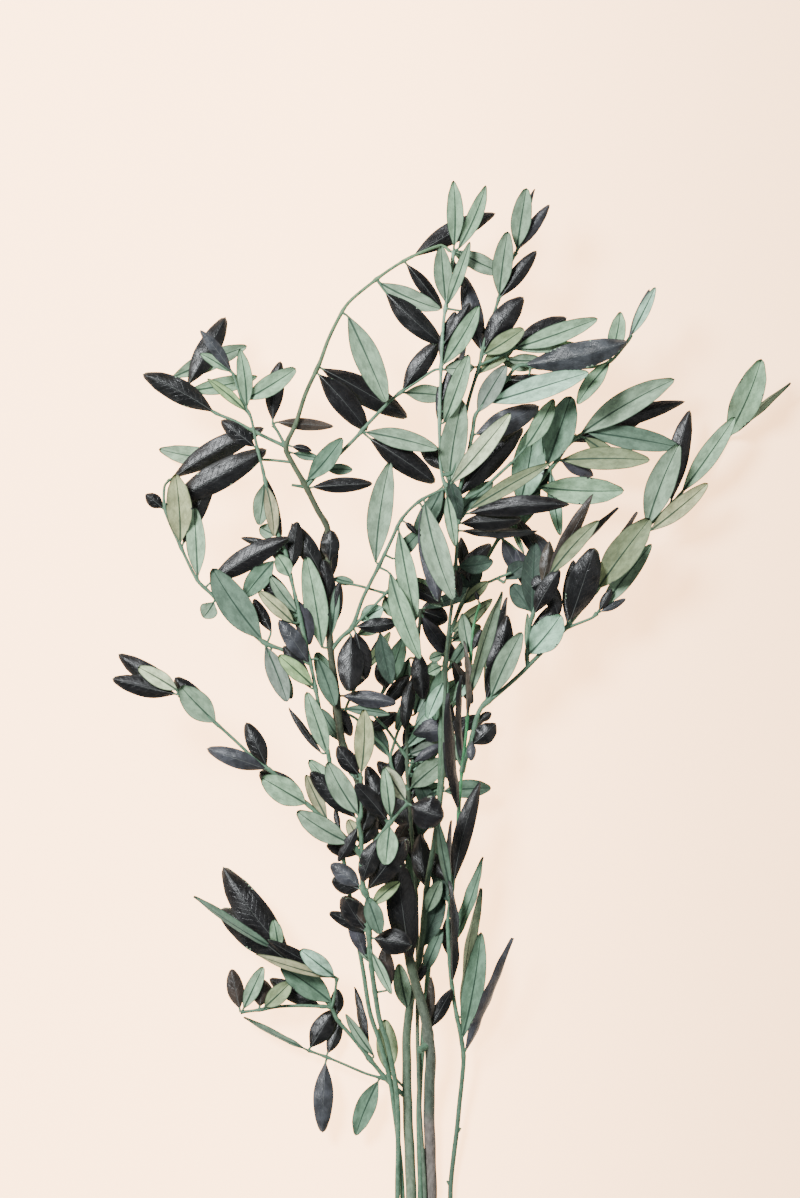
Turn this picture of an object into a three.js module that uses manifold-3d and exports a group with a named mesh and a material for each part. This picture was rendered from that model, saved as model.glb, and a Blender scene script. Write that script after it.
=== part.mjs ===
// Dried olive branch: seven cut stems with their leaves, lying as a loose bunch.
// Millimetres, +Z up. The bunch lies on the floor z = 0, seen from above: x to the right, y up the page.
import * as THREE from "three";
import { mergeVertices } from "three/addons/utils/BufferGeometryUtils.js";
import Module from "manifold-3d";

// Driving dimensions
const bladeThickness = 1.4; // through the middle of a leaf
const petioleWidth = 1.9;
const petioleThickness = 1.3;
const leafFold = 0.1; // how far the margins bend, as a share of the leaf's width
const fullness = 1.12; // a leaf's whole width over the width between its margins, which the rows give
const narrowest = 0.17; // a leaf seen narrower than this share of its length is rolled on edge
const steepestRoll = 1.05;
const leafGap = 1; // free height between leaves of different branches
const nearRoot = 0.28; // the share of a leaf next to its own branch that may touch it
const passes = 60; // how often the leaves are bent a little clear of each other
const floorCut = 0; // everything below is cut away, which leaves the three resting spots flat
const blockSize = [1000, 1000, 50]; // what is cut away below the floor

// The middle colour of each branch.
const colours = {
  arching_branch: 0x5f6b5c,
  left_branch: 0x93aa93,
  low_front_spray: 0x86998a,
  centre_branch: 0x7c8f7c,
  right_upper_branch: 0x8fa58c,
  far_right_branch: 0x6b7568,
  inner_branch: 0x566057,
};

// Which side of a leaf shows. A number under 10 is the dark upper side, the others the pale underside.
const DARK = 1;
const SILVER = 2;
const BROWN = 3;
const SAGE = 10;
const MINT = 11;
const OLIVE = 12;
const BEIGE = 13;
const CREAM = 14;
const GREEN = 15;
const YELLOW = 16;
const GREY = 17;
const MOSS = 18;
const FLOOR = -9; // a leaf that droops until its tip lies on the floor

// A twig: how far its end rises, its first and last radius, its route from above, and its leaves as
// [base x, base y, tip x, tip y, width seen, side, 1 in front / -1 behind].
function twig(rise, first, last, route, leaves) {
  return { rise, thinning: 1, first, last, route, leaves };
}

// A main stem: how fast it thins near its root (1 is evenly), and then as a twig.
function stem(thinning, first, last, route, leaves) {
  return { rise: 0, thinning, first, last, route, leaves };
}

// A branch: its name, its height above the floor along y, and its twigs, the main stem first.
function branch(name, heights, twigs) {
  return { name, heights, twigs };
}

const branches = [
  branch("arching_branch", [[-388, 4.4], [-270, 5], [-250, 8], [-215, 20], [-197, 26], [-178, 30], [-160, 33],
      [-135, 36], [-100, 40], [-50, 45], [0, 49], [60, 52], [400, 52]], [
    stem(1.4, 4.2, 1, [[-14, -388], [-14.5, -310], [-16, -250], [-15, -215], [-17, -197], [-21, -178],
      [-26.5, -160], [-32, -135], [-42, -100], [-56, -50], [-68, -15], [-76, 3], [-79, 24], [-81, 45],
      [-84, 66], [-86, 98], [-86, 150], [-93, 164], [-101, 180], [-110, 196], [-115, 208], [-108, 224],
      [-102, 243], [-92, 265], [-86, 281], [-80, 294], [-72, 307], [-57, 320], [-34, 336], [-8, 347],
      [-2, 343]], [ [-25, -154, -39, -72, 20, DARK, 1], [-89.5, 92, -95, 128, 8, DARK, -1],
      [-72, 298, -45.5, 238, 17, SAGE, 1], [-92, 263, -31, 228, 17, DARK, -1],
      [-92, 259, -59, 219, 16, DARK, 0], [-50, 321, -8, 303, 12.5, SAGE, 0], [-46, 314, -8, 279, 15, DARK, 0],
      [-33, 335, -7, 303, 9, DARK, 0], [-30, 340, 30, 369.5, 14, DARK, -1], [-1, 344, 31, 331, 11, SAGE, -1],
      [-111, 208, -97, 205, 5, DARK, 0], [-112, 205, -92, 200, 6, GREEN, 0],
      [-103, 182, -76, 214, 13, GREEN, 1], [-87, 192, -69, 192, 7.5, GREEN, -1],
      [-97, 180, -55, 182.5, 10, DARK, 0], [-81, 72, -79.5, 113.5, 6.5, GREEN, 0],
      [-90, 119, -111, 155, 13, DARK, 0], [-90, 125, -84, 150.5, 12, DARK, 0],
      [-89.4, 92.5, -89, 130, 11, DARK, 0], [-90, 69, -101, 132, 15.5, SAGE, 1],
      [-82, 31, -94, 66, 12, GREEN, 0], [-76, 36, -39, 31, 11, SILVER, 1], [-75, 27, -43, 23, 7, GREEN, 0],
      [-15.3, -198.7, -14.7, -158.7, 6, BROWN, 0], [-15.3, -198.7, -0.2, -168, 9, DARK, 0]]),
    twig(0, 1.2, 0.9, [[-115, 208], [-121, 219], [-124, 223]], [ [-124, 226, -118.6, 267, 12, DARK, 0],
      [-121.5, 225, -82, 222, 8, BROWN, 0]]),
    twig(-14, 1.4, 0.9, [[-115, 208], [-132, 216], [-151, 226], [-163, 231], [-177, 240], [-197, 254.5]],
      [ [-163, 231, -214, 258, 15.5, DARK, 0], [-197, 255, -142, 278, 13, SAGE, 0],
      [-183, 251, -157, 298, 15, DARK, -1], [-184.5, 248, -135, 257, 11, SAGE, -1]]),
    twig(-20, 1.1, 0.9, [[-111, 197], [-128.6, 199], [-150, 199]],
      [[-150, 199, -203.5, 207, 13, SAGE, FLOOR]]),
    twig(1, 1.2, 1, [[-101, 180], [-111, 181.5]], []),
    twig(1, 1, 0.8, [[-79, 30], [-84, 31], [-86, 36]], []),
    twig(7, 2.6, 2.5, [[-15, -206], [-20, -208], [-23, -210]], []),
    twig(0, 1.5, 0.9, [[-101, 180], [-88, 195], [-80, 201], [-65, 216], [-58, 224], [-44.5, 238],
      [-37, 244.5], [-23, 254], [-12, 261], [-4, 261]], [ [-61, 217, -10, 206, 13, SAGE, 1],
      [-57, 213.5, -12, 183, 16, DARK, 0], [-37, 247, -9, 281, 13, DARK, 0],
      [-35, 244, -3, 243, 12, SAGE, -1]]),
    twig(10, 1.6, 0.9, [[-84, 67], [-77, 76], [-69, 83.5], [-62, 103], [-52, 123], [-42, 143.5], [-35, 158],
      [-23, 170], [-8, 178], [-4, 179]], [ [-53, 128, -43, 197.5, 16, SAGE, 0],
      [-43, 121, -22, 61, 14, SAGE, 1], [-36, 152, -25, 88, 13, SAGE, 0], [-21, 167, -10, 101, 15, SILVER, 1],
      [-19.5, 171, 1, 102, 17, SAGE, 1], [-4, 175, 2, 139, 8, SAGE, 0], [-33, 156, -25, 148, 4, DARK, 0],
      [-70, 78, -71, 39, 17, DARK, 1]]),
    twig(0, 1.1, 0.9, [[-69, 83.5], [-57, 95], [-43, 110], [-37, 117]], [[-69, 81.5, -37, 87, 10, DARK, 0],
      [-67, 80, -60, 47, 13, DARK, -1]]),
    twig(0, 1, 0.9, [[-86, 118], [-77, 114.5], [-63, 111.5], [-47, 107], [-41, 107]],
      [ [-85, 118, -68, 114, 6, GREEN, 0], [-48, 106, -41, 91, 9, SAGE, -1]])]),
  branch("left_branch", [[-388, 1.9], [-310, 2.2], [-275, 6], [-250, 11], [-200, 22], [-150, 34], [-100, 44],
      [-50, 53], [0, 60], [50, 64], [400, 64]], [
    stem(1, 1.8, 0.9, [[-35, -385], [-34.5, -310], [-42, -238], [-50, -205], [-57, -184], [-61, -159],
      [-66, -130], [-73, -90], [-80, -45], [-85, -8], [-92, 29], [-96.5, 52], [-105, 90], [-111, 116],
      [-115, 135], [-120, 146], [-125, 166], [-131, 193], [-135, 209], [-139, 228], [-145, 239], [-151, 258]],
      [ [-151, 258, -174, 288, 8, SILVER, 0], [-151, 258, -174, 272, 7, SAGE, 0],
      [-140.5, 233, -146.5, 275, 10, SAGE, 1], [-142, 229.5, -169, 254.5, 7, YELLOW, 1],
      [-146.5, 238, -108, 261.6, 13, SAGE, 0], [-134.6, 206, -159.5, 226, 11, DARK, 0],
      [-131, 185, -133.4, 153.5, 12, SAGE, 0], [-129, 184, -123, 146, 9, BEIGE, 0],
      [-132.5, 191, -118, 146, 8, DARK, -1], [-121, 145, -133, 152.5, 10, SAGE, -1],
      [-115, 135, -146, 145, 6, DARK, -1], [-105.4, 91, -125.7, 118.6, 9, SAGE, 1],
      [-109, 86, -133.4, 108, 9.5, BEIGE, 0], [-111, 116, -121, 133, 11, SAGE, 0],
      [-107, 98, -140, 127, 12, DARK, -1], [-112, 120, -107, 156, 11, DARK, -1],
      [-103, 82, -124, 104, 10, GREEN, -1], [-98.5, 56, -119.6, 88.5, 12, SILVER, 0],
      [-96.4, 40.5, -119.6, 64, 11, YELLOW, 1], [-97.5, 41, -116.5, 70.6, 10, DARK, 0],
      [-87, -8, -100.6, 39, 12, SAGE, 1], [-90, -4, -113, 28, 5, DARK, -1]]),
    twig(-24, 1.5, 0.9, [[-98, 58], [-115, 67], [-130, 73], [-150, 90], [-167, 107], [-176, 116], [-187, 138],
      [-198, 163], [-199, 180], [-196, 185]], [ [-130, 73, -165.4, 124, 20, GREEN, 1],
      [-186, 140, -191, 189, 16.5, BEIGE, 1], [-175, 116, -178, 166, 12.6, SAGE, 0],
      [-194, 186, -130, 221, 15.4, DARK, 1], [-196, 168, -128, 206, 18, DARK, 1],
      [-168, 113, -112, 145, 15, DARK, 1], [-187, 138, -163, 196, 12, DARK, -1],
      [-198, 164, -212, 175, 9, DARK, 0], [-163, 103, -172, 90, 12, SAGE, -1],
      [-130, 73, -114, 32, 13, GREY, 0], [-124.7, 80, -137, 103, 8, DARK, 0]])]),
  branch("low_front_spray", [[-388, 5.5], [-310, 6], [-275, 11], [-245, 16], [-205, 26], [-150, 43],
      [-100, 60], [-80, 66], [-50, 73], [0, 77], [400, 78]], [
    stem(1, 1.8, 1.8, [[-40, -385], [-38, -310], [-38, -245], [-45, -205], [-50, -190], [-54, -166],
      [-57, -140], [-58.5, -103], [-61.5, -97], [-62.5, -80], [-62.5, -74]],
      [ [-59, -99, -31, -62, 17, DARK, 1], [-62, -97, -84, -80, 12, SILVER, 0],
      [-61, -98, -83, -91, 13, DARK, 0], [-57, -131, -28, -136, 17, DARK, 1],
      [-53, -124, -76, -103, 15, BROWN, 1], [-60, -144, -70, -112, 10, SILVER, 0],
      [-58, -128, -85, -114, 9, DARK, 0], [-57, -152, -67, -130, 6, SAGE, -1],
      [-58, -111, -36, -92, 9, YELLOW, 1], [-57, -138, -42, -170, 7, SAGE, 1],
      [-54, -143, -42, -162, 10, BROWN, 0]]),
    twig(2, 2, 2, [[-57, -113], [-56, -104]], []),
    twig(5, 2.6, 2.5, [[-61, -84], [-62.5, -79]], []),
    twig(3, 1.7, 1, [[-62.5, -75], [-69, -66], [-84, -52], [-98, -40], [-124, -16], [-134, -9], [-161, 16],
      [-188, 37]], [ [-189, 38, -234, 48, 13, DARK, 0], [-189, 40, -216, 56, 11, CREAM, 1],
      [-189, 41, -230, 65, 13, DARK, -1], [-162, 15, -187, 43, 17, SAGE, 1],
      [-163, 20, -191, 49, 14, DARK, -1], [-125, -12, -142, 18, 12, DARK, 0],
      [-125, -14, -169, 0, 12, SILVER, 0], [-99, -40, -131, -20, 17, SAGE, 1],
      [-100, -38, -133, -16, 16, DARK, -1], [-84, -50, -101, -18, 9, BEIGE, 0],
      [-69, -67, -107, -43, 15, SAGE, 1], [-65, -76, -87, -67, 10, DARK, 0],
      [-76, -57, -81, -42, 4, DARK, -1]]),
    twig(3, 1.5, 1, [[-62, -74], [-63, -60], [-65, -50], [-63, -46], [-63, -30], [-63, -19]],
      [ [-62.5, -48, -86, -9, 15, SAGE, 1], [-66, -49, -98, -16, 14, DARK, 0],
      [-66, -52, -79, -78, 8, DARK, -1], [-64, -47, -99, -8, 13, SAGE, -1], [-62, -17, -61, 27, 13, BEIGE, 0],
      [-65, -20, -79, 2, 12, DARK, 0], [-66, -21, -72, -11, 5, GREEN, 0], [-62, -67, -72, -49, 9, BEIGE, 0],
      [-62, -60, -55, -36, 10, DARK, -1]]),
    twig(2, 1.5, 1, [[-62, -75], [-50, -60], [-43, -51], [-38, -45], [-31, -38]],
      [ [-45, -50, -67, -24, 12, DARK, 1], [-46, -50, -59, -12, 13, DARK, -1],
      [-43, -50, -47, -13, 9, SAGE, 1], [-42, -48, -44, -16, 8, DARK, -1], [-31, -38, -47, -12, 12, CREAM, 1],
      [-31, -38, -6, -47, 22, DARK, 1], [-43, -51, -46, -80, 14, SAGE, 0]])]),
  branch("centre_branch", [[-388, 3.1], [-300, 3.1], [-250, 7], [-200, 13], [-160, 19], [-120, 26], [-60, 31],
      [0, 34], [60, 37], [120, 39], [160, 43], [200, 52], [250, 60], [400, 60]], [
    stem(4, 4.2, 1.1, [[-28.5, -388], [-28.5, -310], [-31, -250], [-31.5, -200], [-29, -178], [-24, -155],
      [-20, -125], [-18, -100], [-14, -75], [-11, -55], [-8, -35], [-6, -10], [-5.5, 20], [-4.5, 50],
      [-2.5, 80], [1, 110], [3, 140], [3, 165], [0, 176], [-6, 184], [-8, 195], [-9, 220], [-8, 260],
      [-6.5, 290], [-5, 302], [-2, 320], [0, 337], [1, 343]], [ [-21, -118, -8, -92, 10, SAGE, 1],
      [-21, -143, -7, -99, 13, MOSS, 1], [-20, -158, -7, -126, 9, GREEN, 1],
      [-19, -172, -17, -147, 6, DARK, 1], [-4, 184, -27, 146, 12, GREEN, -1], [-6, 305, -8, 346, 12, SAGE, 1],
      [-4, 302, 12, 349, 8, SAGE, 0], [1, 343, 0.5, 391, 11, SAGE, 1], [4, 344, 23, 388, 10, SAGE, 0],
      [4, 343, 35, 328, 12, SAGE, -1], [2, 338, 8, 318, 6, DARK, -1], [-7, 262, 18, 305, 12, SAGE, 1],
      [-5, 277, 12, 307, 8, DARK, 0], [-6, 224, 11, 271, 12, SAGE, 1], [-8, 236, 4, 270, 7, DARK, 0],
      [-10, 219, -10, 250, 6, DARK, -1], [-8, 225, 9, 281, 6, SILVER, -1], [-3, 180, 7, 240, 17, SAGE, 1],
      [-2, 181, 40, 231, 13, CREAM, 1], [3, 172, 49, 221, 17, DARK, 0], [3, 155, 48, 158, 12, DARK, 0],
      [4, 150, 59, 150, 7, DARK, -1], [3, 126, 5, 104, 5, DARK, 1], [-29, -186, -37, -150, 11, SAGE, 1]]),
    twig(-3, 1.4, 0.9, [[0, 190], [5, 205], [9, 230], [13, 246], [18, 262], [20, 270], [22, 280], [26, 292],
      [31, 307], [36, 325], [44, 342]], [ [31, 310, 38, 356, 13, SAGE, 1], [31, 309, 58, 343, 10, DARK, 0],
      [43, 343, 51, 386, 13, SAGE, 1], [44, 342, 67, 375, 8, SILVER, 0], [44, 342, 57, 386, 5, DARK, -1],
      [22, 273, 49, 311, 16, DARK, 0], [21, 270, 49, 289, 12, OLIVE, 1], [18, 273, 8, 326, 13, SILVER, -1],
      [18, 263, -5, 262, 11, SAGE, -1]]),
    twig(-2, 1.1, 0.9, [[19, 264], [28, 268], [36, 272], [41, 275]], [ [42, 276, 100, 296, 13, SAGE, 0],
      [42, 276, 79, 297, 13, DARK, -1], [41, 274, 85, 279, 8, SAGE, 0], [38, 268, 62, 268, 9, SAGE, -1]]),
    twig(-12, 1.5, 0.9, [[3, 172], [9, 195], [14, 218], [16, 230], [24, 239], [30, 245], [37, 254], [46, 264],
      [60, 262], [80, 262], [98, 263], [109, 267], [116, 274], [124, 285]], [ [15, 229, 37, 264, 13, GREY, 1],
      [23, 237, 94, 259, 16, MINT, 1], [15, 215, 60, 236, 16, SILVER, -1], [37, 254, 68, 254, 9, DARK, -1],
      [47, 262, 121, 280, 18, SILVER, 1], [110, 268, 86, 237, 11, SAGE, 1],
      [108, 268, 116, 301, 11, SAGE, -1], [121, 280, 136, 317, 6, SILVER, 0],
      [123, 282, 140, 318, 8, MINT, 1]]),
    twig(0, 1.4, 1.1, [[3, 168], [8, 172], [20, 178], [30, 187], [41, 197]], []),
    twig(0, 1.2, 1, [[3, 154], [9, 163]], [[10, 163, 68, 197, 10, OLIVE, 1], [9, 161, 81, 168, 13, DARK, 1]]),
    twig(4, 1.8, 1, [[-29, -247], [-36, -240], [-44, -233], [-53, -222], [-58, -216], [-68, -203],
      [-80, -189], [-84, -181], [-90, -180], [-105, -179.5], [-120, -180], [-131, -182], [-147, -184]],
      [ [-44, -227, -47, -189, 14, OLIVE, 1], [-54, -215, -74, -185, 7, SAGE, 1],
      [-57, -215, -68, -167, 6, DARK, -1], [-57, -216, -70, -197, 4, GREEN, 0],
      [-80, -189, -80, -168, 9, DARK, -1], [-84, -177, -119, -152, 17, GREEN, 1],
      [-90, -178, -127, -161, 12, DARK, -1], [-148, -184, -153, -154, 11, BROWN, 0],
      [-146, -183, -131, -152, 10, SAGE, 1], [-134, -182, -131, -161, 15, BROWN, 0],
      [-132, -182, -112, -163, 12, OLIVE, 1]]),
    twig(6, 1.1, 0.9, [[-83, -179], [-81, -168], [-80, -160]], [ [-80, -160, -105, -140, 12, MINT, 1],
      [-81, -158, -128, -133, 9, DARK, 1], [-81, -160, -136, -143, 7, BEIGE, 1]]),
    twig(-4, 1.1, 0.9, [[-84, -180], [-100, -165], [-112, -150], [-122, -141]],
      [ [-112, -145, -159, -83, 21, DARK, -1], [-112, -150, -162, -113, 20, DARK, -1],
      [-122, -141, -179, -103, 6, GREEN, 1], [-119, -141, -124, -119, 9, SAGE, 1]]),
    twig(-2, 1.1, 0.9, [[-45, -232], [-50, -230], [-60, -227], [-86, -216], [-100, -211]],
      [ [-101, -210, -82, -183, 14, DARK, 0], [-87, -214, -78, -189, 9, DARK, -1],
      [-101, -211, -145, -188, 4, GREEN, 0], [-88, -219, -90, -268, 13, SILVER, 0],
      [-51, -232, -67, -270, 13, GREEN, 0]]),
    twig(3, 1, 0.9, [[-31, -239], [-37, -233], [-43, -226]], [])]),
  branch("right_upper_branch", [[-388, 3], [-310, 3], [-250, 4.2], [-200, 5.5], [-160, 7.5], [-120, 10.5],
      [-80, 15], [-40, 18], [0, 21], [60, 24], [120, 26], [400, 28]], [
    stem(1, 2, 1, [[-22, -388], [-22, -310], [-23, -250], [-20, -200], [-17, -160], [-14, -120], [-11, -80],
      [-9, -40], [-8, 0], [-7, 40], [-2, 75], [6, 98], [14, 112], [22, 127], [31, 143], [40, 156], [52, 173],
      [62, 186], [73, 199], [80, 209], [87, 216]], [ [87, 217, 154, 255, 17, SAGE, 1],
      [90, 218, 162, 240, 12, DARK, -1], [92, 219, 158, 208, 15, GREEN, 0], [82, 211, 136, 232, 15, DARK, -1],
      [91, 215, 118, 196, 10, OLIVE, -1], [72, 200, 137, 199, 15, OLIVE, 1],
      [74, 199, 98, 188, 10, SILVER, -1], [57, 181, 119, 178, 18, SAGE, 1], [66, 196, 82, 243, 20, GREEN, 1],
      [50, 170, 69, 240, 9, SAGE, 0], [45, 165, 57, 224, 21, MINT, 0], [45, 163, 79, 172, 9, OLIVE, -1],
      [70, 192, 75, 147, 9, MINT, -1], [62, 187, 38, 150, 15, GREEN, -1], [34, 146, 49, 118, 11, SILVER, -1],
      [42, 156, 50, 134, 4, SAGE, 0], [45, 160, 58, 133, 9, DARK, -1], [12, 111, 6, 146, 8, DARK, 0],
      [12, 111, 18, 139, 5, DARK, 0], [24, 128, 3, 114, 17, MOSS, 0], [5, 98, 25, 115, 8, OLIVE, 1],
      [-6, 74, 28, 103, 9, OLIVE, 1], [-3, 72, 20, 84, 10, SAGE, -1], [-5, 58, -17, 51, 8, SAGE, -1],
      [-4, 66, -16, 61, 7, SAGE, -1], [-7, -31, 27, -28.5, 12, GREEN, 0], [-8, 12, 24, 21, 10, DARK, -1],
      [-12, -98, -10, -77, 7, SILVER, -1]]),
    twig(2, 1.1, 1, [[14, 112], [24, 114], [33, 118], [41, 121]], []),
    twig(1, 1, 0.9, [[31, 117], [36, 114]], [])]),
  branch("far_right_branch", [[-388, 3], [-310, 3], [-250, 9], [-200, 17], [-150, 24], [-100, 31], [-50, 37],
      [0, 42], [50, 45], [400, 46]], [
    stem(1, 1.8, 0.9, [[-0.5, -388], [-1, -308], [3, -270], [5, -250], [7, -230], [8, -215], [5, -195],
      [2, -180], [-1, -158], [-2.5, -135], [-3, -118], [0, -100], [1.5, -75], [4, -50], [6.5, -17], [8.5, 0],
      [10, 15], [12, 45], [13.5, 75], [16, 90], [19, 99]], [ [9, -205, 20, -128, 14, GREEN, 1],
      [7, -187, 20, -98, 8, SAGE, 0], [9, -214, 42, -132, 6, SILVER, 1], [-1, -142, 21.5, -76, 8, GREEN, 0],
      [1, -97, 19.5, -23, 12, DARK, 1], [-1, -104, -0.5, -51, 4, SILVER, 0],
      [-1, -103, -10, -50, 7, GREEN, 1], [5, -17, 1, 10, 4, SAGE, 0], [2, -46, -3, 38, 7, DARK, 1],
      [3, -42, -6, 4, 4, SILVER, 0], [5, -14, 6.5, 50, 4, DARK, 0], [0.5, -166, -2.5, -90, 4, DARK, 1],
      [14, 65, 20, 82, 5, DARK, 0], [12.5, 33, 34, 108, 9, SAGE, 1], [9, 20, 8, 74, 4, BROWN, 0],
      [19, 99, 16, 108, 3, DARK, 0]]),
    twig(0, 1, 0.8, [[3, -270], [6, -265]], []),
    twig(0, 1, 0.8, [[-1, -307], [-3.5, -302]], []),
    twig(-45.3, 1.8, 0.9, [[7, -17], [10, -5], [13, 5], [18, 24], [22, 30], [30, 36], [45, 49], [58, 62],
      [72, 76], [79, 83], [88, 94], [98, 106], [108, 120], [120, 136], [131, 148], [145, 162], [158, 175],
      [165, 184], [180, 203], [192, 215]], [ [13, 0, 30, 17, 13, DARK, 0], [16, 17, 27, 24, 6, DARK, 0],
      [14, 8, 13, -9, 6, SILVER, 0], [22, 31, 38, 92, 15, DARK, 0], [27, 31, 48, 80, 14, SAGE, 1],
      [22, 33, 24, 72, 4, SAGE, 0], [24, 33, 38, 104, 8, DARK, -1], [80, 85, 98, 138, 20, DARK, 1],
      [78, 84, 84, 130, 10, DARK, -1], [101, 109, 129, 154, 9, DARK, 0], [101, 107, 136, 158, 20, OLIVE, 1],
      [95, 104, 100, 118, 5, SILVER, 0], [106, 123, 118, 147, 8, SILVER, -1],
      [92, 98, 128, 163, 4, BROWN, -1], [133, 152, 157, 210, 18, SAGE, 1], [137, 150, 177, 183, 12, BEIGE, 1],
      [150, 170, 165, 234, 14, DARK, 0], [157, 176, 196, 229, 13, SAGE, 1], [190, 214, 214, 269, 19, SAGE, 1],
      [192, 215, 235, 253, 5, SAGE, 1]]),
    twig(2, 1.1, 0.9, [[79, 82], [90, 87], [97, 90], [100, 93]], [ [101, 94, 138, 141, 12, SAGE, 0],
      [100, 95, 110, 110, 6, DARK, 0], [101, 94, 120, 103, 5, SILVER, -1]]),
    twig(4, 1.3, 0.9, [[51, 57], [51.5, 68], [54, 85], [57, 97], [60, 108], [62, 113], [66, 118]],
      [ [51, 63, 75, 92, 20, MINT, 1], [53, 66, 73, 101, 14, DARK, -1], [51, 60, 52, 93, 5, SAGE, -1],
      [56, 92, 41, 113, 13, MOSS, -1], [54, 90, 57, 142, 15, MOSS, 0], [57, 90, 74, 123, 12, DARK, 1],
      [60, 112, 67, 143, 9, BROWN, 0], [64, 116, 97, 175, 9, BROWN, 1], [66, 117, 101, 157, 11, OLIVE, 1],
      [66, 118, 115, 166, 3, DARK, -1]])]),
  branch("inner_branch", [[-388, 8.6], [-250, 8.8], [-200, 8.6], [-150, 8.6], [-100, 9], [-50, 10], [0, 12],
      [60, 14], [400, 15]], [
    stem(1, 1.5, 1, [[-19, -388], [-19, -310], [-22.5, -250], [-24, -200], [-24, -150], [-25, -100],
      [-28, -60], [-31, -20], [-31, 10], [-29, 40], [-25, 60], [-23, 80], [-22, 96]],
      [ [-22, 93, 7, 56, 11, SILVER, 1], [-20, 95, -3, 88, 14, DARK, -1], [-23, 70, -20, 33, 12, DARK, 1],
      [-27, 52, -33, 12, 9, DARK, 0], [-31, 40, -39, 12, 8, GREEN, 0], [-26, 14, 6, 47, 13, MINT, 0],
      [-29, 9, 2, 13, 15, SILVER, 1], [-29, -10, -17, 9, 12, MINT, 0], [-27, -11, -6, 2, 7, SILVER, 0],
      [-28, -30, -5, -9, 15, SAGE, 0], [-34, -17, -22, -11, 6, MINT, 0], [-26, -32, -5, -28, 10, GREEN, -1],
      [-22, -104, -25, -50, 13, GREEN, 0], [-29, -50, -39, -68, 9, BROWN, -1],
      [-28, -60, -49, -30, 12, DARK, -1], [-30, -30, -52, -10, 11, DARK, -1],
      [-23, 84, -11, 104, 9, DARK, -1], [-24, -20, -4, 34, 14, MINT, -1], [-26, 22, -11, 60, 13, MINT, -1]]),
    twig(2, 1.2, 1, [[-30, -30], [-40, -18], [-43, -8], [-41, 0], [-38, 10], [-36, 14]], []),
    twig(3, 1.1, 0.9, [[-43, -8], [-47, 0], [-58, 10], [-67, 20], [-74, 25], [-66, 45], [-63, 60], [-66, 75]],
      [ [-62, 48, -49, 78, 5, DARK, -1], [-66, 78, -45, 88, 9, SAGE, -1], [-62, 52, -43, 80, 7, OLIVE, -1]]),
    twig(3, 1.1, 0.9, [[-31, -8], [-38, 2], [-45, 12], [-56, 25], [-50, 35]],
      [ [-46, 40, -49, 62, 13, DARK, 1], [-48, 40, -34, 76, 12, GREEN, -1]]),
    twig(1, 1, 0.9, [[-31, -20], [-27, -9]], [])]),
];

function heightAt(heights, y) {
  if (y <= heights[0][0]) return heights[0][1];
  for (let i = 1; i < heights.length; i++) {
    const [y0, z0] = heights[i - 1];
    const [y1, z1] = heights[i];
    if (y <= y1) return z0 + ((z1 - z0) * (y - y0)) / (y1 - y0);
  }
  return heights[heights.length - 1][1];
}

// A repeatable number from -1 to 1 for leaf i.
function vary(i, k) {
  return (((i + 3) * 7919 + k * 10473 + i * i * 31) % 1000) / 500 - 1;
}

function distance(a, b) {
  const dx = a[0] - b[0];
  const dy = a[1] - b[1];
  return Math.sqrt(dx * dx + dy * dy);
}

// The point of an axis that is nearest to (x, y) from above, as [x, y, z, radius].
function nearest(axis, x, y) {
  let best = null;
  let least = Infinity;
  for (let i = 1; i < axis.length; i++) {
    const a = axis[i - 1];
    const b = axis[i];
    const dx = b[0] - a[0];
    const dy = b[1] - a[1];
    const along = ((x - a[0]) * dx + (y - a[1]) * dy) / (dx * dx + dy * dy + 1e-9);
    const t = Math.min(1, Math.max(0, along));
    const p = a.map((v, k) => v + (b[k] - v) * t);
    const d = distance(p, [x, y]);
    if (d < least) {
      least = d;
      best = p;
    }
  }
  return best;
}

// Axis points [x, y, z, radius] of every twig. A side twig starts on the axis of an earlier twig.
function layTwigs(one) {
  const axes = [];
  for (const t of one.twigs) {
    let route = t.route;
    let offset = 0;
    let root = null;
    if (axes.length) {
      let least = Infinity;
      for (const axis of axes) {
        const p = nearest(axis, route[0][0], route[0][1]);
        const d = distance(p, route[0]);
        if (d < least) {
          least = d;
          root = p;
        }
      }
      route = least > 1.5 ? [[root[0], root[1]], ...route] : [[root[0], root[1]], ...route.slice(1)];
      offset = root[2] - heightAt(one.heights, root[1]);
    }
    const n = route.length - 1;
    axes.push(
      route.map(([x, y], i) => {
        const f = i / n;
        const z = heightAt(one.heights, y) + offset + t.rise * (root && t.rise > 0 ? f : f * f * f);
        return [x, y, z, t.last + (t.first - t.last) * (1 - f) ** t.thinning];
      }),
    );
  }
  return axes;
}

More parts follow.
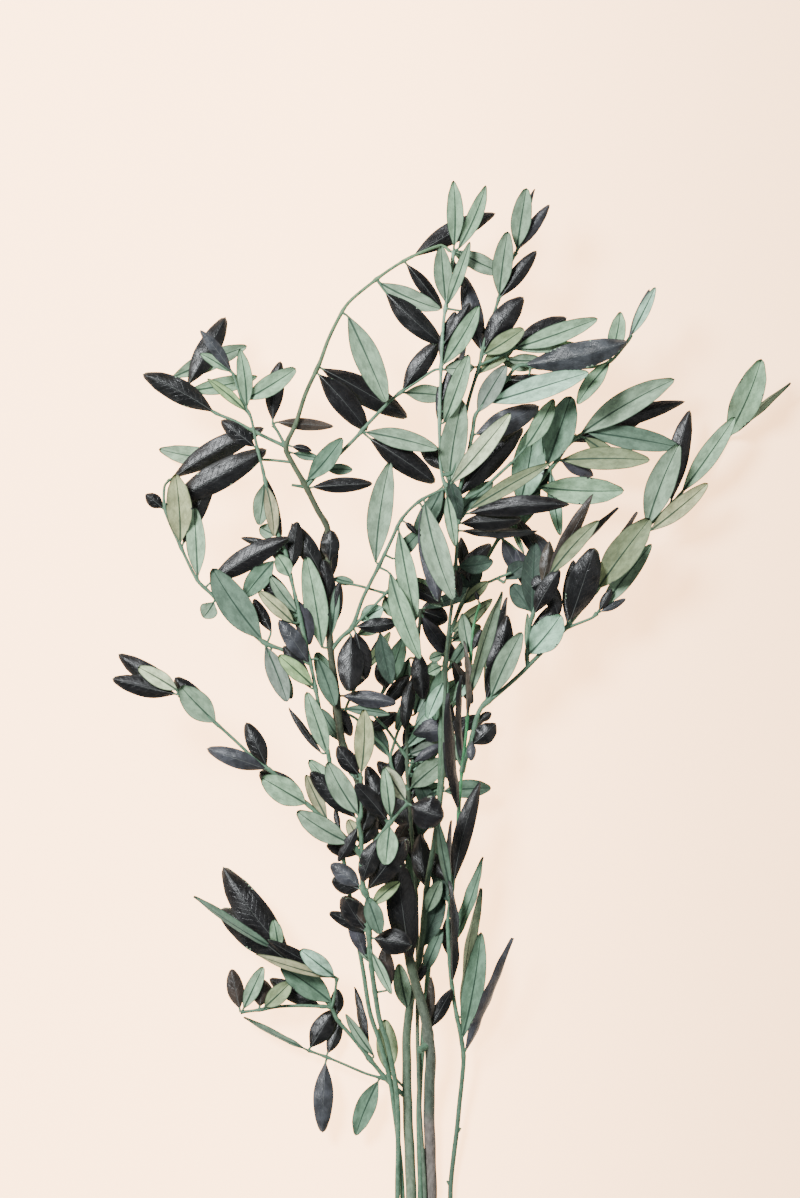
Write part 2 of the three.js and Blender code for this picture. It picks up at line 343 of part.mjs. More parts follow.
// Everything about a leaf that doesn't depend on its neighbours.
function layLeaf(row, axis, number) {
  const [bx, by, tx, ty, seen, side, order] = row;
  const root = nearest(axis, bx, by);
  const run = distance([bx, by], [tx, ty]);
  const ux = (tx - bx) / run;
  const uy = (ty - by) / run;
  const least = root[3] + 1.5;
  const ahead = (bx - root[0]) * ux + (by - root[1]) * uy;
  let base = [bx, by];
  if (distance(root, base) < least || ahead < 0) base = [root[0] + ux * least, root[1] + uy * least];
  const petiole = distance(root, base);
  const length = distance(base, [tx, ty]);
  const width = Math.max(seen * fullness, narrowest * length);
  const roll = Math.min(steepestRoll, Math.acos(Math.min(1, (seen * fullness) / width)));
  const tilt = order === 1 ? 0.15 : order === -1 ? -0.15 : 0.07 * vary(number, 1);
  const reach = petiole + length;
  return {
    root,
    base,
    tip: [tx, ty],
    petiole,
    length,
    width,
    blunt: Math.max(0.35, Math.min(0.66, 0.88 - (0.07 * length) / width)),
    roll: vary(number, 2) < 0 ? -roll : roll,
    dark: side < 10,
    fixed: order === FLOOR,
    end: order === FLOOR ? -0.2 - root[2] : Math.max(-9, Math.min(9, tilt * reach)),
    middle: order === FLOOR ? 3 : 0.03 * reach * (1 + vary(number, 3)),
    bow: 0.035 * length * vary(number, 4),
  };
}

// Share of the full width along the blade: a wedge at the base, rounder at the tip, most so on a short leaf.
function outline(leaf, t) {
  return Math.sin(Math.PI * t) ** (1.05 - leaf.blunt * t) * 0.94 + 0.06 * (1 - t);
}

// A point on the middle line of a leaf, t from -1 (root) over 0 (blade's base) to 1 (tip).
function onLeaf(leaf, t) {
  const reach = leaf.petiole + leaf.length;
  const u = t < 0 ? ((1 + t) * leaf.petiole) / reach : (leaf.petiole + t * leaf.length) / reach;
  const z = leaf.root[2] + leaf.end * u + leaf.middle * 4 * u * (1 - u);
  if (t < 0) {
    return [
      leaf.base[0] + (leaf.root[0] - leaf.base[0]) * -t,
      leaf.base[1] + (leaf.root[1] - leaf.base[1]) * -t,
      z,
    ];
  }
  const dx = (leaf.tip[0] - leaf.base[0]) / leaf.length;
  const dy = (leaf.tip[1] - leaf.base[1]) / leaf.length;
  const side = leaf.bow * 4 * t * (1 - t);
  return [leaf.base[0] + dx * leaf.length * t - dy * side, leaf.base[1] + dy * leaf.length * t + dx * side, z];
}

// Samples of a leaf for the clearance: [share of reach, x, y, half width from above, half height].
function leafSamples(leaf) {
  const out = [];
  for (const t of [-0.4, 0.04, 0.16, 0.28, 0.4, 0.52, 0.64, 0.76, 0.88, 1]) {
    const p = onLeaf(leaf, t);
    const half = t < 0 ? 1 : (leaf.width / 2) * outline(leaf, t);
    const reach = leaf.petiole + leaf.length;
    const u = t < 0 ? ((1 + t) * leaf.petiole) / reach : (leaf.petiole + t * leaf.length) / reach;
    const wide = Math.max(half * Math.cos(leaf.roll), leaf.length * 0.065);
    const high = 0.8 + half * (Math.abs(Math.sin(leaf.roll)) + leafFold);
    out.push([u, p[0], p[1], wide, high]);
  }
  return out;
}

function leafHeight(leaf, u) {
  return leaf.root[2] + leaf.end * u + leaf.middle * 4 * u * (1 - u);
}

// Moves the leaf up or down by dz at share u of its reach, mostly by tilting it.
function bend(leaf, u, dz) {
  if (leaf.fixed) return;
  const q = 4 * u * (1 - u) * 0.5;
  const norm = u * u + q * q + 0.02;
  const limit = 0.55 * leaf.length;
  leaf.end = Math.max(-limit, Math.min(limit, leaf.end + (dz * u) / norm));
  const low = 0.16 * leaf.length;
  leaf.middle = Math.max(-low, Math.min(low, leaf.middle + (dz * q * 0.5) / norm));
}

// Bends the leaves that would cross another branch until they pass above or below it.
function clearLeaves(plants) {
  const leaves = [];
  const stems = [];
  plants.forEach((plant, owner) => {
    for (const leaf of plant.leaves) leaves.push({ leaf, owner, samples: leafSamples(leaf) });
    for (const axis of plant.axes) {
      const samples = [];
      for (let i = 1; i < axis.length; i++) {
        const steps = Math.ceil(distance(axis[i - 1], axis[i]) / 4);
        for (let s = 0; s < steps; s++) {
          const p = axis[i - 1].map((v, k) => v + ((axis[i][k] - v) * s) / steps);
          samples.push([p[2], p[0], p[1], p[3] + 1.2, p[3]]);
        }
      }
      stems.push({ owner, samples });
    }
  });
  const contacts = [];
  const meet = (a, b, stem) => {
    const same = a.owner === b.owner;
    const found = [];
    let sum = 0;
    for (const s of a.samples) {
      if (same && s[0] < nearRoot) continue;
      for (const o of b.samples) {
        if (same && !stem && o[0] < nearRoot) continue;
        const dx = s[1] - o[1];
        const dy = s[2] - o[2];
        const reach = s[3] + o[3] + 0.5;
        if (dx * dx + dy * dy > reach * reach) continue;
        const other = stem ? o[0] : leafHeight(b.leaf, o[0]);
        sum += leafHeight(a.leaf, s[0]) - other;
        found.push([s[0], o[0], same ? (s[4] + o[4]) * 0.8 : s[4] + o[4] + leafGap]);
      }
    }
    const above = sum >= 0 ? 1 : -1;
    for (const [u, v, need] of found) contacts.push({ a: a.leaf, b: stem ? null : b.leaf, u, v, need, above });
  };
  leaves.forEach((a, i) => {
    leaves.slice(i + 1).forEach((b) => {
      meet(a, b, false);
    });
    stems.forEach((b) => {
      meet(a, b, true);
    });
  });
  for (let pass = 0; pass < passes; pass++) {
    for (const c of contacts) {
      const other = c.b ? leafHeight(c.b, c.v) : c.v;
      const lack = c.need - c.above * (leafHeight(c.a, c.u) - other);
      if (lack <= 0) continue;
      const share = !c.b || c.b.fixed ? 0.7 : c.a.fixed ? 0 : 0.35;
      bend(c.a, c.u, c.above * lack * share);
      if (c.b) bend(c.b, c.v, -c.above * lack * (c.a.fixed ? 0.7 : 0.35));
    }
    for (const { leaf, samples } of leaves) {
      for (const s of samples) {
        const lack = s[4] + 0.5 - leafHeight(leaf, s[0]);
        if (lack > 0) bend(leaf, s[0], lack);
      }
    }
  }
}

function solidOf(wasm, vertices, triangles) {
  return new wasm.Manifold(
    new wasm.Mesh({
      numProp: 3,
      vertProperties: new Float32Array(vertices.flat()),
      triVerts: new Uint32Array(triangles.flat()),
    }),
  );
}

function unit(v) {
  const l = Math.sqrt(v[0] * v[0] + v[1] * v[1] + v[2] * v[2]);
  return [v[0] / l, v[1] / l, v[2] / l];
}

function cross(a, b) {
  return [a[1] * b[2] - a[2] * b[1], a[2] * b[0] - a[0] * b[2], a[0] * b[1] - a[1] * b[0]];
}

function twigSolid(wasm, axis) {
  const sides = axis[0][3] >= 1.7 ? 5 : 4;
  const vertices = [];
  const triangles = [];
  const last = axis.length - 1;
  axis.forEach((p, i) => {
    const a = axis[Math.max(0, i - 1)];
    const b = axis[Math.min(last, i + 1)];
    const along = unit([b[0] - a[0], b[1] - a[1], b[2] - a[2]]);
    const across = unit(cross([0, 0, 1], along));
    const over = cross(along, across);
    for (let s = 0; s < sides; s++) {
      const angle = (2 * Math.PI * s) / sides + Math.PI / 2;
      const c = Math.cos(angle) * p[3];
      const h = Math.sin(angle) * p[3];
      vertices.push([0, 1, 2].map((k) => p[k] + across[k] * c + over[k] * h));
    }
  });
  for (let i = 0; i < last; i++) {
    for (let s = 0; s < sides; s++) {
      const a = i * sides + s;
      const b = i * sides + ((s + 1) % sides);
      triangles.push([a, b, b + sides], [a, b + sides, a + sides]);
    }
  }
  for (let s = 1; s < sides - 1; s++) {
    triangles.push([0, s + 1, s], [last * sides, last * sides + s, last * sides + s + 1]);
  }
  return solidOf(wasm, vertices, triangles);
}

function leafSolid(wasm, leaf) {
  const stations = leaf.length > 60 ? [0, 0.2, 0.5, 0.85] : leaf.length > 24 ? [0, 0.32, 0.75] : [0, 0.5];
  const vertices = [];
  const triangles = [];
  // The root reaches a little past the stem's axis.
  const root = onLeaf(leaf, -1);
  const sunk = 0.7 / leaf.petiole;
  const base = onLeaf(leaf, 0);
  vertices.push([0, 1, 2].map((k) => root[k] - (base[k] - root[k]) * sunk));
  for (const t of stations) {
    const p = onLeaf(leaf, t);
    const q = onLeaf(leaf, Math.min(1, t + 0.05));
    const o = t > 0 ? onLeaf(leaf, t - 0.05) : p;
    const along = unit([q[0] - o[0], q[1] - o[1], q[2] - o[2]]);
    const level = unit(cross([0, 0, 1], along));
    const normal = cross(along, level);
    const roll = leaf.roll * Math.min(1, t / 0.3);
    const half = t === 0 ? petioleWidth / 2 : (leaf.width / 2) * outline(leaf, t);
    const thick = (t === 0 ? petioleThickness : bladeThickness) / 2;
    const fold = t === 0 ? 0 : (leaf.dark ? -1 : 1) * leafFold * leaf.width;
    const c = Math.cos(roll);
    const s = Math.sin(roll);
    const across = [0, 1, 2].map((k) => level[k] * c + normal[k] * s);
    const over = [0, 1, 2].map((k) => normal[k] * c - level[k] * s);
    for (const [w, h] of [
      [half, fold / 2],
      [0, thick - fold / 2],
      [-half, fold / 2],
      [0, -thick - fold / 2],
    ]) {
      vertices.push([0, 1, 2].map((k) => p[k] + across[k] * w + over[k] * h));
    }
  }
  vertices.push(onLeaf(leaf, 1));
  const tip = vertices.length - 1;
  for (let s = 0; s < 4; s++) {
    const n = (s + 1) % 4;
    triangles.push([0, 1 + n, 1 + s], [tip, tip - 4 + s, tip - 4 + n]);
    for (let i = 0; i < stations.length - 1; i++) {
      const a = 1 + i * 4 + s;
      const b = 1 + i * 4 + n;
      // Both faces are split alike, from the middle line out to the margin.
      if (s % 2 === 0) triangles.push([a, b, a + 4], [b, b + 4, a + 4]);
      else triangles.push([a, b, b + 4], [a, b + 4, a + 4]);
    }
  }
  return solidOf(wasm, vertices, triangles);
}

// The block below the floor, as a solid.
function blockBelow(wasm, height) {
  const box = new THREE.BoxGeometry(...blockSize).translate(0, 0, height - blockSize[2] / 2);
  box.deleteAttribute("normal");
  box.deleteAttribute("uv");
  const merged = mergeVertices(box);
  return new wasm.Manifold(
    new wasm.Mesh({
      numProp: 3,
      vertProperties: merged.attributes.position.array,
      triVerts: new Uint32Array(merged.index.array),
    }),
  );
}

const wasm = await Module();
wasm.setup();

let number = 0;
const plants = branches.map((one) => {
  const axes = layTwigs(one);
  const leaves = [];
  one.twigs.forEach((t, k) => {
    for (const row of t.leaves) leaves.push(layLeaf(row, axes[k], number++));
  });
  return { name: one.name, axes, leaves };
});
clearLeaves(plants);

const floor = blockBelow(wasm, floorCut);
const group = new THREE.Group();
for (const plant of plants) {
  let body = null;
  for (const axis of plant.axes) {
    const solid = twigSolid(wasm, axis);
    body = body ? body.add(solid) : solid;
  }
  for (const leaf of plant.leaves) body = body.add(leafSolid(wasm, leaf));
  // Leaves that cross in one branch can shut in a speck of air: only the outer skin is kept.
  body = body.subtract(floor).decompose().reduce((a, b) => (a.volume() > b.volume() ? a : b));
  const made = body.getMesh();
  const geometry = new THREE.BufferGeometry();
  const positions = new Float32Array(made.numVert * 3);
  for (let i = 0; i < made.numVert; i++) {
    positions.set(made.vertProperties.subarray(i * made.numProp, i * made.numProp + 3), i * 3);
  }
  geometry.setAttribute("position", new THREE.BufferAttribute(positions, 3));
  geometry.setIndex(new THREE.BufferAttribute(new Uint32Array(made.triVerts), 1));
  geometry.computeVertexNormals();
  const material = new THREE.MeshStandardMaterial({ color: colours[plant.name], roughness: 0.7 });
  const mesh = new THREE.Mesh(geometry, material);
  mesh.name = plant.name;
  group.add(mesh);
}

export default group;
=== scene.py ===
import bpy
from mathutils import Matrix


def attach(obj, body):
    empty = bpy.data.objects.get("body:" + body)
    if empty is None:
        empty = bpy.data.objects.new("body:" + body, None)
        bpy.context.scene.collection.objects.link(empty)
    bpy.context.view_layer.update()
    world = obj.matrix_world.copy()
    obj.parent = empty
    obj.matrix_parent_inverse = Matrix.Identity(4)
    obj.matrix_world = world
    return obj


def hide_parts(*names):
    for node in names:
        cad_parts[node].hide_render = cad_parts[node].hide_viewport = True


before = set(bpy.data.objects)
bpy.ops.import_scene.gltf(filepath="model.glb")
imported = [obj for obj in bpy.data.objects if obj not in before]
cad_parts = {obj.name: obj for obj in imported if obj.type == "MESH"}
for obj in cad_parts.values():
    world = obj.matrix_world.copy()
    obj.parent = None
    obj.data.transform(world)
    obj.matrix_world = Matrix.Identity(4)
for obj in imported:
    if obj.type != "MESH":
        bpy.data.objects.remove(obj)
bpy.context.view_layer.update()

# %% [markdown]
# # A dried olive branch
#
# The real object is a loose bunch of seven cut and dried olive stems. Every leaf has two faces: the upper
# one is almost black and slightly glossy, the underside is a dusty green. The bunch lies down and the
# camera looks down on it, so the picture plane is the floor: x to the right, y up the page.
#
# The leaves are what gives the object its look, so each one that shows is built at the place measured on
# the photograph. Scattering one leaf over the stems would be quicker, but then no leaf would be
# where it really is.

# %% Modules and the unit
import math

import bpy
import mathutils
import numpy as np

MM = 0.001
print("sizes in millimetres, scaled by", MM)

# %% [markdown]
# ## The sides of a leaf
#
# Which face of a leaf shows decides its colour more than anything else. The names below are the finishes
# that the bunch has. Those numbered before SAGE are the dark upper side, and the others are undersides.
# The silver one is no finish of its own but a painted sheen: the dark upper side painted a lighter grey.

# %% Names of the finishes
# The silver upper side is a painted sheen: the dark upper side painted a lighter grey.
DARK, SILVER_SHEEN, BROWN = 1, 2, 3
SAGE, MINT, OLIVE, BEIGE, CREAM, GREEN, YELLOW, GREY, MOSS = 10, 11, 12, 13, 14, 15, 16, 17, 18
FLOOR = -9


def twig(rise, first, last, route, leaves, thinning=1):
    return {"rise": rise, "thinning": thinning, "first": first, "last": last,
            "route": route, "leaves": leaves}


def stem(thinning, first, last, route, leaves):
    return twig(0, first, last, route, leaves, thinning)


def branch(name, heights, twigs):
    return {"name": name, "heights": heights, "twigs": twigs}


print("finishes named")

# %% [markdown]
# ## The plan of the bunch
#
# Each branch is its name, its height above the floor along y, and its twigs with the main stem first. A
# stem is how fast it thins near its root, and a twig is the rise of its end. Both go on with their first
# and last radius, their route and their leaves: base, tip, width seen, side, and 1 for a leaf in front, -1
# for one behind or FLOOR for one that hangs to the floor. Places in the picture were measured on the
# photograph. Heights and rises are judged from what covers what.

# %% The branches, twigs and leaves
branches = [
  branch("arching_branch", [
    [-388,4.4], [-270,5], [-250,8], [-215,20], [-197,26], [-178,30], [-160,33], [-135,36], [-100,40],
    [-50,45], [0,49], [60,52], [400,52]
  ], [
    stem(1.4, 4.2, 1, [
      [-14,-388], [-14.5,-310], [-16,-250], [-15,-215], [-17,-197], [-21,-178], [-26.5,-160], [-32,-135],
      [-42,-100], [-56,-50], [-68,-15], [-76,3], [-79,24], [-81,45], [-84,66], [-86,98], [-86,150], [-93,164],
      [-101,180], [-110,196], [-115,208], [-108,224], [-102,243], [-92,265], [-86,281], [-80,294], [-72,307],
      [-57,320], [-34,336], [-8,347], [-2,343]
    ], [
      [-25,-154,-39,-72,20,DARK,1], [-89.5,92,-95,128,8,DARK,-1], [-72,298,-45.5,238,17,SAGE,1],
      [-92,263,-31,228,17,DARK,-1], [-92,259,-59,219,16,DARK,0], [-50,321,-8,303,12.5,SAGE,0],
      [-46,314,-8,279,15,DARK,0], [-33,335,-7,303,9,DARK,0], [-30,340,30,369.5,14,DARK,-1],
      [-1,344,31,331,11,SAGE,-1], [-111,208,-97,205,5,DARK,0], [-112,205,-92,200,6,GREEN,0],
      [-103,182,-76,214,13,GREEN,1], [-87,192,-69,192,7.5,GREEN,-1], [-97,180,-55,182.5,10,DARK,0],
      [-81,72,-79.5,113.5,6.5,GREEN,0], [-90,119,-111,155,13,DARK,0], [-90,125,-84,150.5,12,DARK,0],
      [-89.4,92.5,-89,130,11,DARK,0], [-90,69,-101,132,15.5,SAGE,1], [-82,31,-94,66,12,GREEN,0],
      [-76,36,-39,31,11,SILVER_SHEEN,1], [-75,27,-43,23,7,GREEN,0], [-15.3,-198.7,-14.7,-158.7,6,BROWN,0],
      [-15.3,-198.7,-0.2,-168,9,DARK,0]
    ]),
    twig(0, 1.2, 0.9, [
      [-115,208], [-121,219], [-124,223]
    ], [
      [-124,226,-118.6,267,12,DARK,0], [-121.5,225,-82,222,8,BROWN,0]
    ]),
    twig(-14, 1.4, 0.9, [
      [-115,208], [-132,216], [-151,226], [-163,231], [-177,240], [-197,254.5]
    ], [
      [-163,231,-214,258,15.5,DARK,0], [-197,255,-142,278,13,SAGE,0], [-183,251,-157,298,15,DARK,-1],
      [-184.5,248,-135,257,11,SAGE,-1]
    ]),
    twig(-20, 1.1, 0.9, [
      [-111,197], [-128.6,199], [-150,199]
    ], [
      [-150,199,-203.5,207,13,SAGE,FLOOR]
    ]),
    twig(1, 1.2, 1, [
      [-101,180], [-111,181.5]
    ], []),
    twig(1, 1, 0.8, [
      [-79,30], [-84,31], [-86,36]
    ], []),
    twig(7, 2.6, 2.5, [
      [-15,-206], [-20,-208], [-23,-210]
    ], []),
    twig(0, 1.5, 0.9, [
      [-101,180], [-88,195], [-80,201], [-65,216], [-58,224], [-44.5,238], [-37,244.5], [-23,254], [-12,261],
      [-4,261]
    ], [
      [-61,217,-10,206,13,SAGE,1], [-57,213.5,-12,183,16,DARK,0], [-37,247,-9,281,13,DARK,0],
      [-35,244,-3,243,12,SAGE,-1]
    ]),
    twig(10, 1.6, 0.9, [
      [-84,67], [-77,76], [-69,83.5], [-62,103], [-52,123], [-42,143.5], [-35,158], [-23,170], [-8,178],
      [-4,179]
    ], [
      [-53,128,-43,197.5,16,SAGE,0], [-43,121,-22,61,14,SAGE,1], [-36,152,-25,88,13,SAGE,0],
      [-21,167,-10,101,15,SILVER_SHEEN,1], [-19.5,171,1,102,17,SAGE,1], [-4,175,2,139,8,SAGE,0],
      [-33,156,-25,148,4,DARK,0], [-70,78,-71,39,17,DARK,1]
    ]),
    twig(0, 1.1, 0.9, [
      [-69,83.5], [-57,95], [-43,110], [-37,117]
    ], [
      [-69,81.5,-37,87,10,DARK,0], [-67,80,-60,47,13,DARK,-1]
    ]),
    twig(0, 1, 0.9, [
      [-86,118], [-77,114.5], [-63,111.5], [-47,107], [-41,107]
    ], [
      [-85,118,-68,114,6,GREEN,0], [-48,106,-41,91,9,SAGE,-1]
    ]),
  ]),
  branch("left_branch", [
    [-388,1.9], [-310,2.2], [-275,6], [-250,11], [-200,22], [-150,34], [-100,44], [-50,53], [0,60], [50,64],
    [400,64]
  ], [
    stem(1, 1.8, 0.9, [
      [-35,-385], [-34.5,-310], [-42,-238], [-50,-205], [-57,-184], [-61,-159], [-66,-130], [-73,-90],
      [-80,-45], [-85,-8], [-92,29], [-96.5,52], [-105,90], [-111,116], [-115,135], [-120,146], [-125,166],
      [-131,193], [-135,209], [-139,228], [-145,239], [-151,258]
    ], [
      [-151,258,-174,288,8,SILVER_SHEEN,0], [-151,258,-174,272,7,SAGE,0], [-140.5,233,-146.5,275,10,SAGE,1],
      [-142,229.5,-169,254.5,7,YELLOW,1], [-146.5,238,-108,261.6,13,SAGE,0],
      [-134.6,206,-159.5,226,11,DARK,0], [-131,185,-133.4,153.5,12,SAGE,0], [-129,184,-123,146,9,BEIGE,0],
      [-132.5,191,-118,146,8,DARK,-1], [-121,145,-133,152.5,10,SAGE,-1], [-115,135,-146,145,6,DARK,-1],
      [-105.4,91,-125.7,118.6,9,SAGE,1], [-109,86,-133.4,108,9.5,BEIGE,0], [-111,116,-121,133,11,SAGE,0],
      [-107,98,-140,127,12,DARK,-1], [-112,120,-107,156,11,DARK,-1], [-103,82,-124,104,10,GREEN,-1],
      [-98.5,56,-119.6,88.5,12,SILVER_SHEEN,0], [-96.4,40.5,-119.6,64,11,YELLOW,1],
      [-97.5,41,-116.5,70.6,10,DARK,0], [-87,-8,-100.6,39,12,SAGE,1], [-90,-4,-113,28,5,DARK,-1]
    ]),
    twig(-24, 1.5, 0.9, [
      [-98,58], [-115,67], [-130,73], [-150,90], [-167,107], [-176,116], [-187,138], [-198,163], [-199,180],
      [-196,185]
    ], [
      [-130,73,-165.4,124,20,GREEN,1], [-186,140,-191,189,16.5,BEIGE,1], [-175,116,-178,166,12.6,SAGE,0],
      [-194,186,-130,221,15.4,DARK,1], [-196,168,-128,206,18,DARK,1], [-168,113,-112,145,15,DARK,1],
      [-187,138,-163,196,12,DARK,-1], [-198,164,-212,175,9,DARK,0], [-163,103,-172,90,12,SAGE,-1],
      [-130,73,-114,32,13,GREY,0], [-124.7,80,-137,103,8,DARK,0]
    ]),
  ]),
  branch("low_front_spray", [
    [-388,5.5], [-310,6], [-275,11], [-245,16], [-205,26], [-150,43], [-100,60], [-80,66], [-50,73], [0,77],
    [400,78]
  ], [
    stem(1, 1.8, 1.8, [
      [-40,-385], [-38,-310], [-38,-245], [-45,-205], [-50,-190], [-54,-166], [-57,-140], [-58.5,-103],
      [-61.5,-97], [-62.5,-80], [-62.5,-74]
    ], [
      [-59,-99,-31,-62,17,DARK,1], [-62,-97,-84,-80,12,SILVER_SHEEN,0], [-61,-98,-83,-91,13,DARK,0],
      [-57,-131,-28,-136,17,DARK,1], [-53,-124,-76,-103,15,BROWN,1], [-60,-144,-70,-112,10,SILVER_SHEEN,0],
      [-58,-128,-85,-114,9,DARK,0], [-57,-152,-67,-130,6,SAGE,-1], [-58,-111,-36,-92,9,YELLOW,1],
      [-57,-138,-42,-170,7,SAGE,1], [-54,-143,-42,-162,10,BROWN,0]
    ]),
    twig(2, 2, 2, [
      [-57,-113], [-56,-104]
    ], []),
    twig(5, 2.6, 2.5, [
      [-61,-84], [-62.5,-79]
    ], []),
    twig(3, 1.7, 1, [
      [-62.5,-75], [-69,-66], [-84,-52], [-98,-40], [-124,-16], [-134,-9], [-161,16], [-188,37]
    ], [
      [-189,38,-234,48,13,DARK,0], [-189,40,-216,56,11,CREAM,1], [-189,41,-230,65,13,DARK,-1],
      [-162,15,-187,43,17,SAGE,1], [-163,20,-191,49,14,DARK,-1], [-125,-12,-142,18,12,DARK,0],
      [-125,-14,-169,0,12,SILVER_SHEEN,0], [-99,-40,-131,-20,17,SAGE,1], [-100,-38,-133,-16,16,DARK,-1],
      [-84,-50,-101,-18,9,BEIGE,0], [-69,-67,-107,-43,15,SAGE,1], [-65,-76,-87,-67,10,DARK,0],
      [-76,-57,-81,-42,4,DARK,-1]
    ]),
    twig(3, 1.5, 1, [
      [-62,-74], [-63,-60], [-65,-50], [-63,-46], [-63,-30], [-63,-19]
    ], [
      [-62.5,-48,-86,-9,15,SAGE,1], [-66,-49,-98,-16,14,DARK,0], [-66,-52,-79,-78,8,DARK,-1],
      [-64,-47,-99,-8,13,SAGE,-1], [-62,-17,-61,27,13,BEIGE,0], [-65,-20,-79,2,12,DARK,0],
      [-66,-21,-72,-11,5,GREEN,0], [-62,-67,-72,-49,9,BEIGE,0], [-62,-60,-55,-36,10,DARK,-1]
    ]),
    twig(2, 1.5, 1, [
      [-62,-75], [-50,-60], [-43,-51], [-38,-45], [-31,-38]
    ], [
      [-45,-50,-67,-24,12,DARK,1], [-46,-50,-59,-12,13,DARK,-1], [-43,-50,-47,-13,9,SAGE,1],
      [-42,-48,-44,-16,8,DARK,-1], [-31,-38,-47,-12,12,CREAM,1], [-31,-38,-6,-47,22,DARK,1],
      [-43,-51,-46,-80,14,SAGE,0]
    ]),
  ]),
  branch("centre_branch", [
    [-388,3.1], [-300,3.1], [-250,7], [-200,13], [-160,19], [-120,26], [-60,31], [0,34], [60,37], [120,39],
    [160,43], [200,52], [250,60], [400,60]
  ], [
    stem(4, 4.2, 1.1, [
      [-28.5,-388], [-28.5,-310], [-31,-250], [-31.5,-200], [-29,-178], [-24,-155], [-20,-125], [-18,-100],
      [-14,-75], [-11,-55], [-8,-35], [-6,-10], [-5.5,20], [-4.5,50], [-2.5,80], [1,110], [3,140], [3,165],
      [0,176], [-6,184], [-8,195], [-9,220], [-8,260], [-6.5,290], [-5,302], [-2,320], [0,337], [1,343]
    ], [
      [-21,-118,-8,-92,10,SAGE,1], [-21,-143,-7,-99,13,MOSS,1], [-20,-158,-7,-126,9,GREEN,1],
      [-19,-172,-17,-147,6,DARK,1], [-4,184,-27,146,12,GREEN,-1], [-6,305,-8,346,12,SAGE,1],
      [-4,302,12,349,8,SAGE,0], [1,343,0.5,391,11,SAGE,1], [4,344,23,388,10,SAGE,0],
      [4,343,35,328,12,SAGE,-1], [2,338,8,318,6,DARK,-1], [-7,262,18,305,12,SAGE,1], [-5,277,12,307,8,DARK,0],
      [-6,224,11,271,12,SAGE,1], [-8,236,4,270,7,DARK,0], [-10,219,-10,250,6,DARK,-1],
      [-8,225,9,281,6,SILVER_SHEEN,-1], [-3,180,7,240,17,SAGE,1], [-2,181,40,231,13,CREAM,1],
      [3,172,49,221,17,DARK,0], [3,155,48,158,12,DARK,0], [4,150,59,150,7,DARK,-1], [3,126,5,104,5,DARK,1],
      [-29,-186,-37,-150,11,SAGE,1]
    ]),
    twig(-3, 1.4, 0.9, [
      [0,190], [5,205], [9,230], [13,246], [18,262], [20,270], [22,280], [26,292], [31,307], [36,325],
      [44,342]
    ], [
      [31,310,38,356,13,SAGE,1], [31,309,58,343,10,DARK,0], [43,343,51,386,13,SAGE,1],
      [44,342,67,375,8,SILVER_SHEEN,0], [44,342,57,386,5,DARK,-1], [22,273,49,311,16,DARK,0],
      [21,270,49,289,12,OLIVE,1], [18,273,8,326,13,SILVER_SHEEN,-1], [18,263,-5,262,11,SAGE,-1]
    ]),
    twig(-2, 1.1, 0.9, [
      [19,264], [28,268], [36,272], [41,275]
    ], [
      [42,276,100,296,13,SAGE,0], [42,276,79,297,13,DARK,-1], [41,274,85,279,8,SAGE,0],
      [38,268,62,268,9,SAGE,-1]
    ]),
    twig(-12, 1.5, 0.9, [
      [3,172], [9,195], [14,218], [16,230], [24,239], [30,245], [37,254], [46,264], [60,262], [80,262],
      [98,263], [109,267], [116,274], [124,285]
    ], [
      [15,229,37,264,13,GREY,1], [23,237,94,259,16,MINT,1], [15,215,60,236,16,SILVER_SHEEN,-1],
      [37,254,68,254,9,DARK,-1], [47,262,121,280,18,SILVER_SHEEN,1], [110,268,86,237,11,SAGE,1],
      [108,268,116,301,11,SAGE,-1], [121,280,136,317,6,SILVER_SHEEN,0], [123,282,140,318,8,MINT,1]
    ]),
    twig(0, 1.4, 1.1, [
      [3,168], [8,172], [20,178], [30,187], [41,197]
    ], []),
    twig(0, 1.2, 1, [
      [3,154], [9,163]
    ], [
      [10,163,68,197,10,OLIVE,1], [9,161,81,168,13,DARK,1]
    ]),
    twig(4, 1.8, 1, [
      [-29,-247], [-36,-240], [-44,-233], [-53,-222], [-58,-216], [-68,-203], [-80,-189], [-84,-181],
      [-90,-180], [-105,-179.5], [-120,-180], [-131,-182], [-147,-184]
    ], [
      [-44,-227,-47,-189,14,OLIVE,1], [-54,-215,-74,-185,7,SAGE,1], [-57,-215,-68,-167,6,DARK,-1],
      [-57,-216,-70,-197,4,GREEN,0], [-80,-189,-80,-168,9,DARK,-1], [-84,-177,-119,-152,17,GREEN,1],
      [-90,-178,-127,-161,12,DARK,-1], [-148,-184,-153,-154,11,BROWN,0], [-146,-183,-131,-152,10,SAGE,1],
      [-134,-182,-131,-161,15,BROWN,0], [-132,-182,-112,-163,12,OLIVE,1]
    ]),
    twig(6, 1.1, 0.9, [
      [-83,-179], [-81,-168], [-80,-160]
    ], [
      [-80,-160,-105,-140,12,MINT,1], [-81,-158,-128,-133,9,DARK,1], [-81,-160,-136,-143,7,BEIGE,1]
    ]),
    twig(-4, 1.1, 0.9, [
      [-84,-180], [-100,-165], [-112,-150], [-122,-141]
    ], [
      [-112,-145,-159,-83,21,DARK,-1], [-112,-150,-162,-113,20,DARK,-1], [-122,-141,-179,-103,6,GREEN,1],
      [-119,-141,-124,-119,9,SAGE,1]
    ]),
    twig(-2, 1.1, 0.9, [
      [-45,-232], [-50,-230], [-60,-227], [-86,-216], [-100,-211]
    ], [
      [-101,-210,-82,-183,14,DARK,0], [-87,-214,-78,-189,9,DARK,-1], [-101,-211,-145,-188,4,GREEN,0],
      [-88,-219,-90,-268,13,SILVER_SHEEN,0], [-51,-232,-67,-270,13,GREEN,0]
    ]),
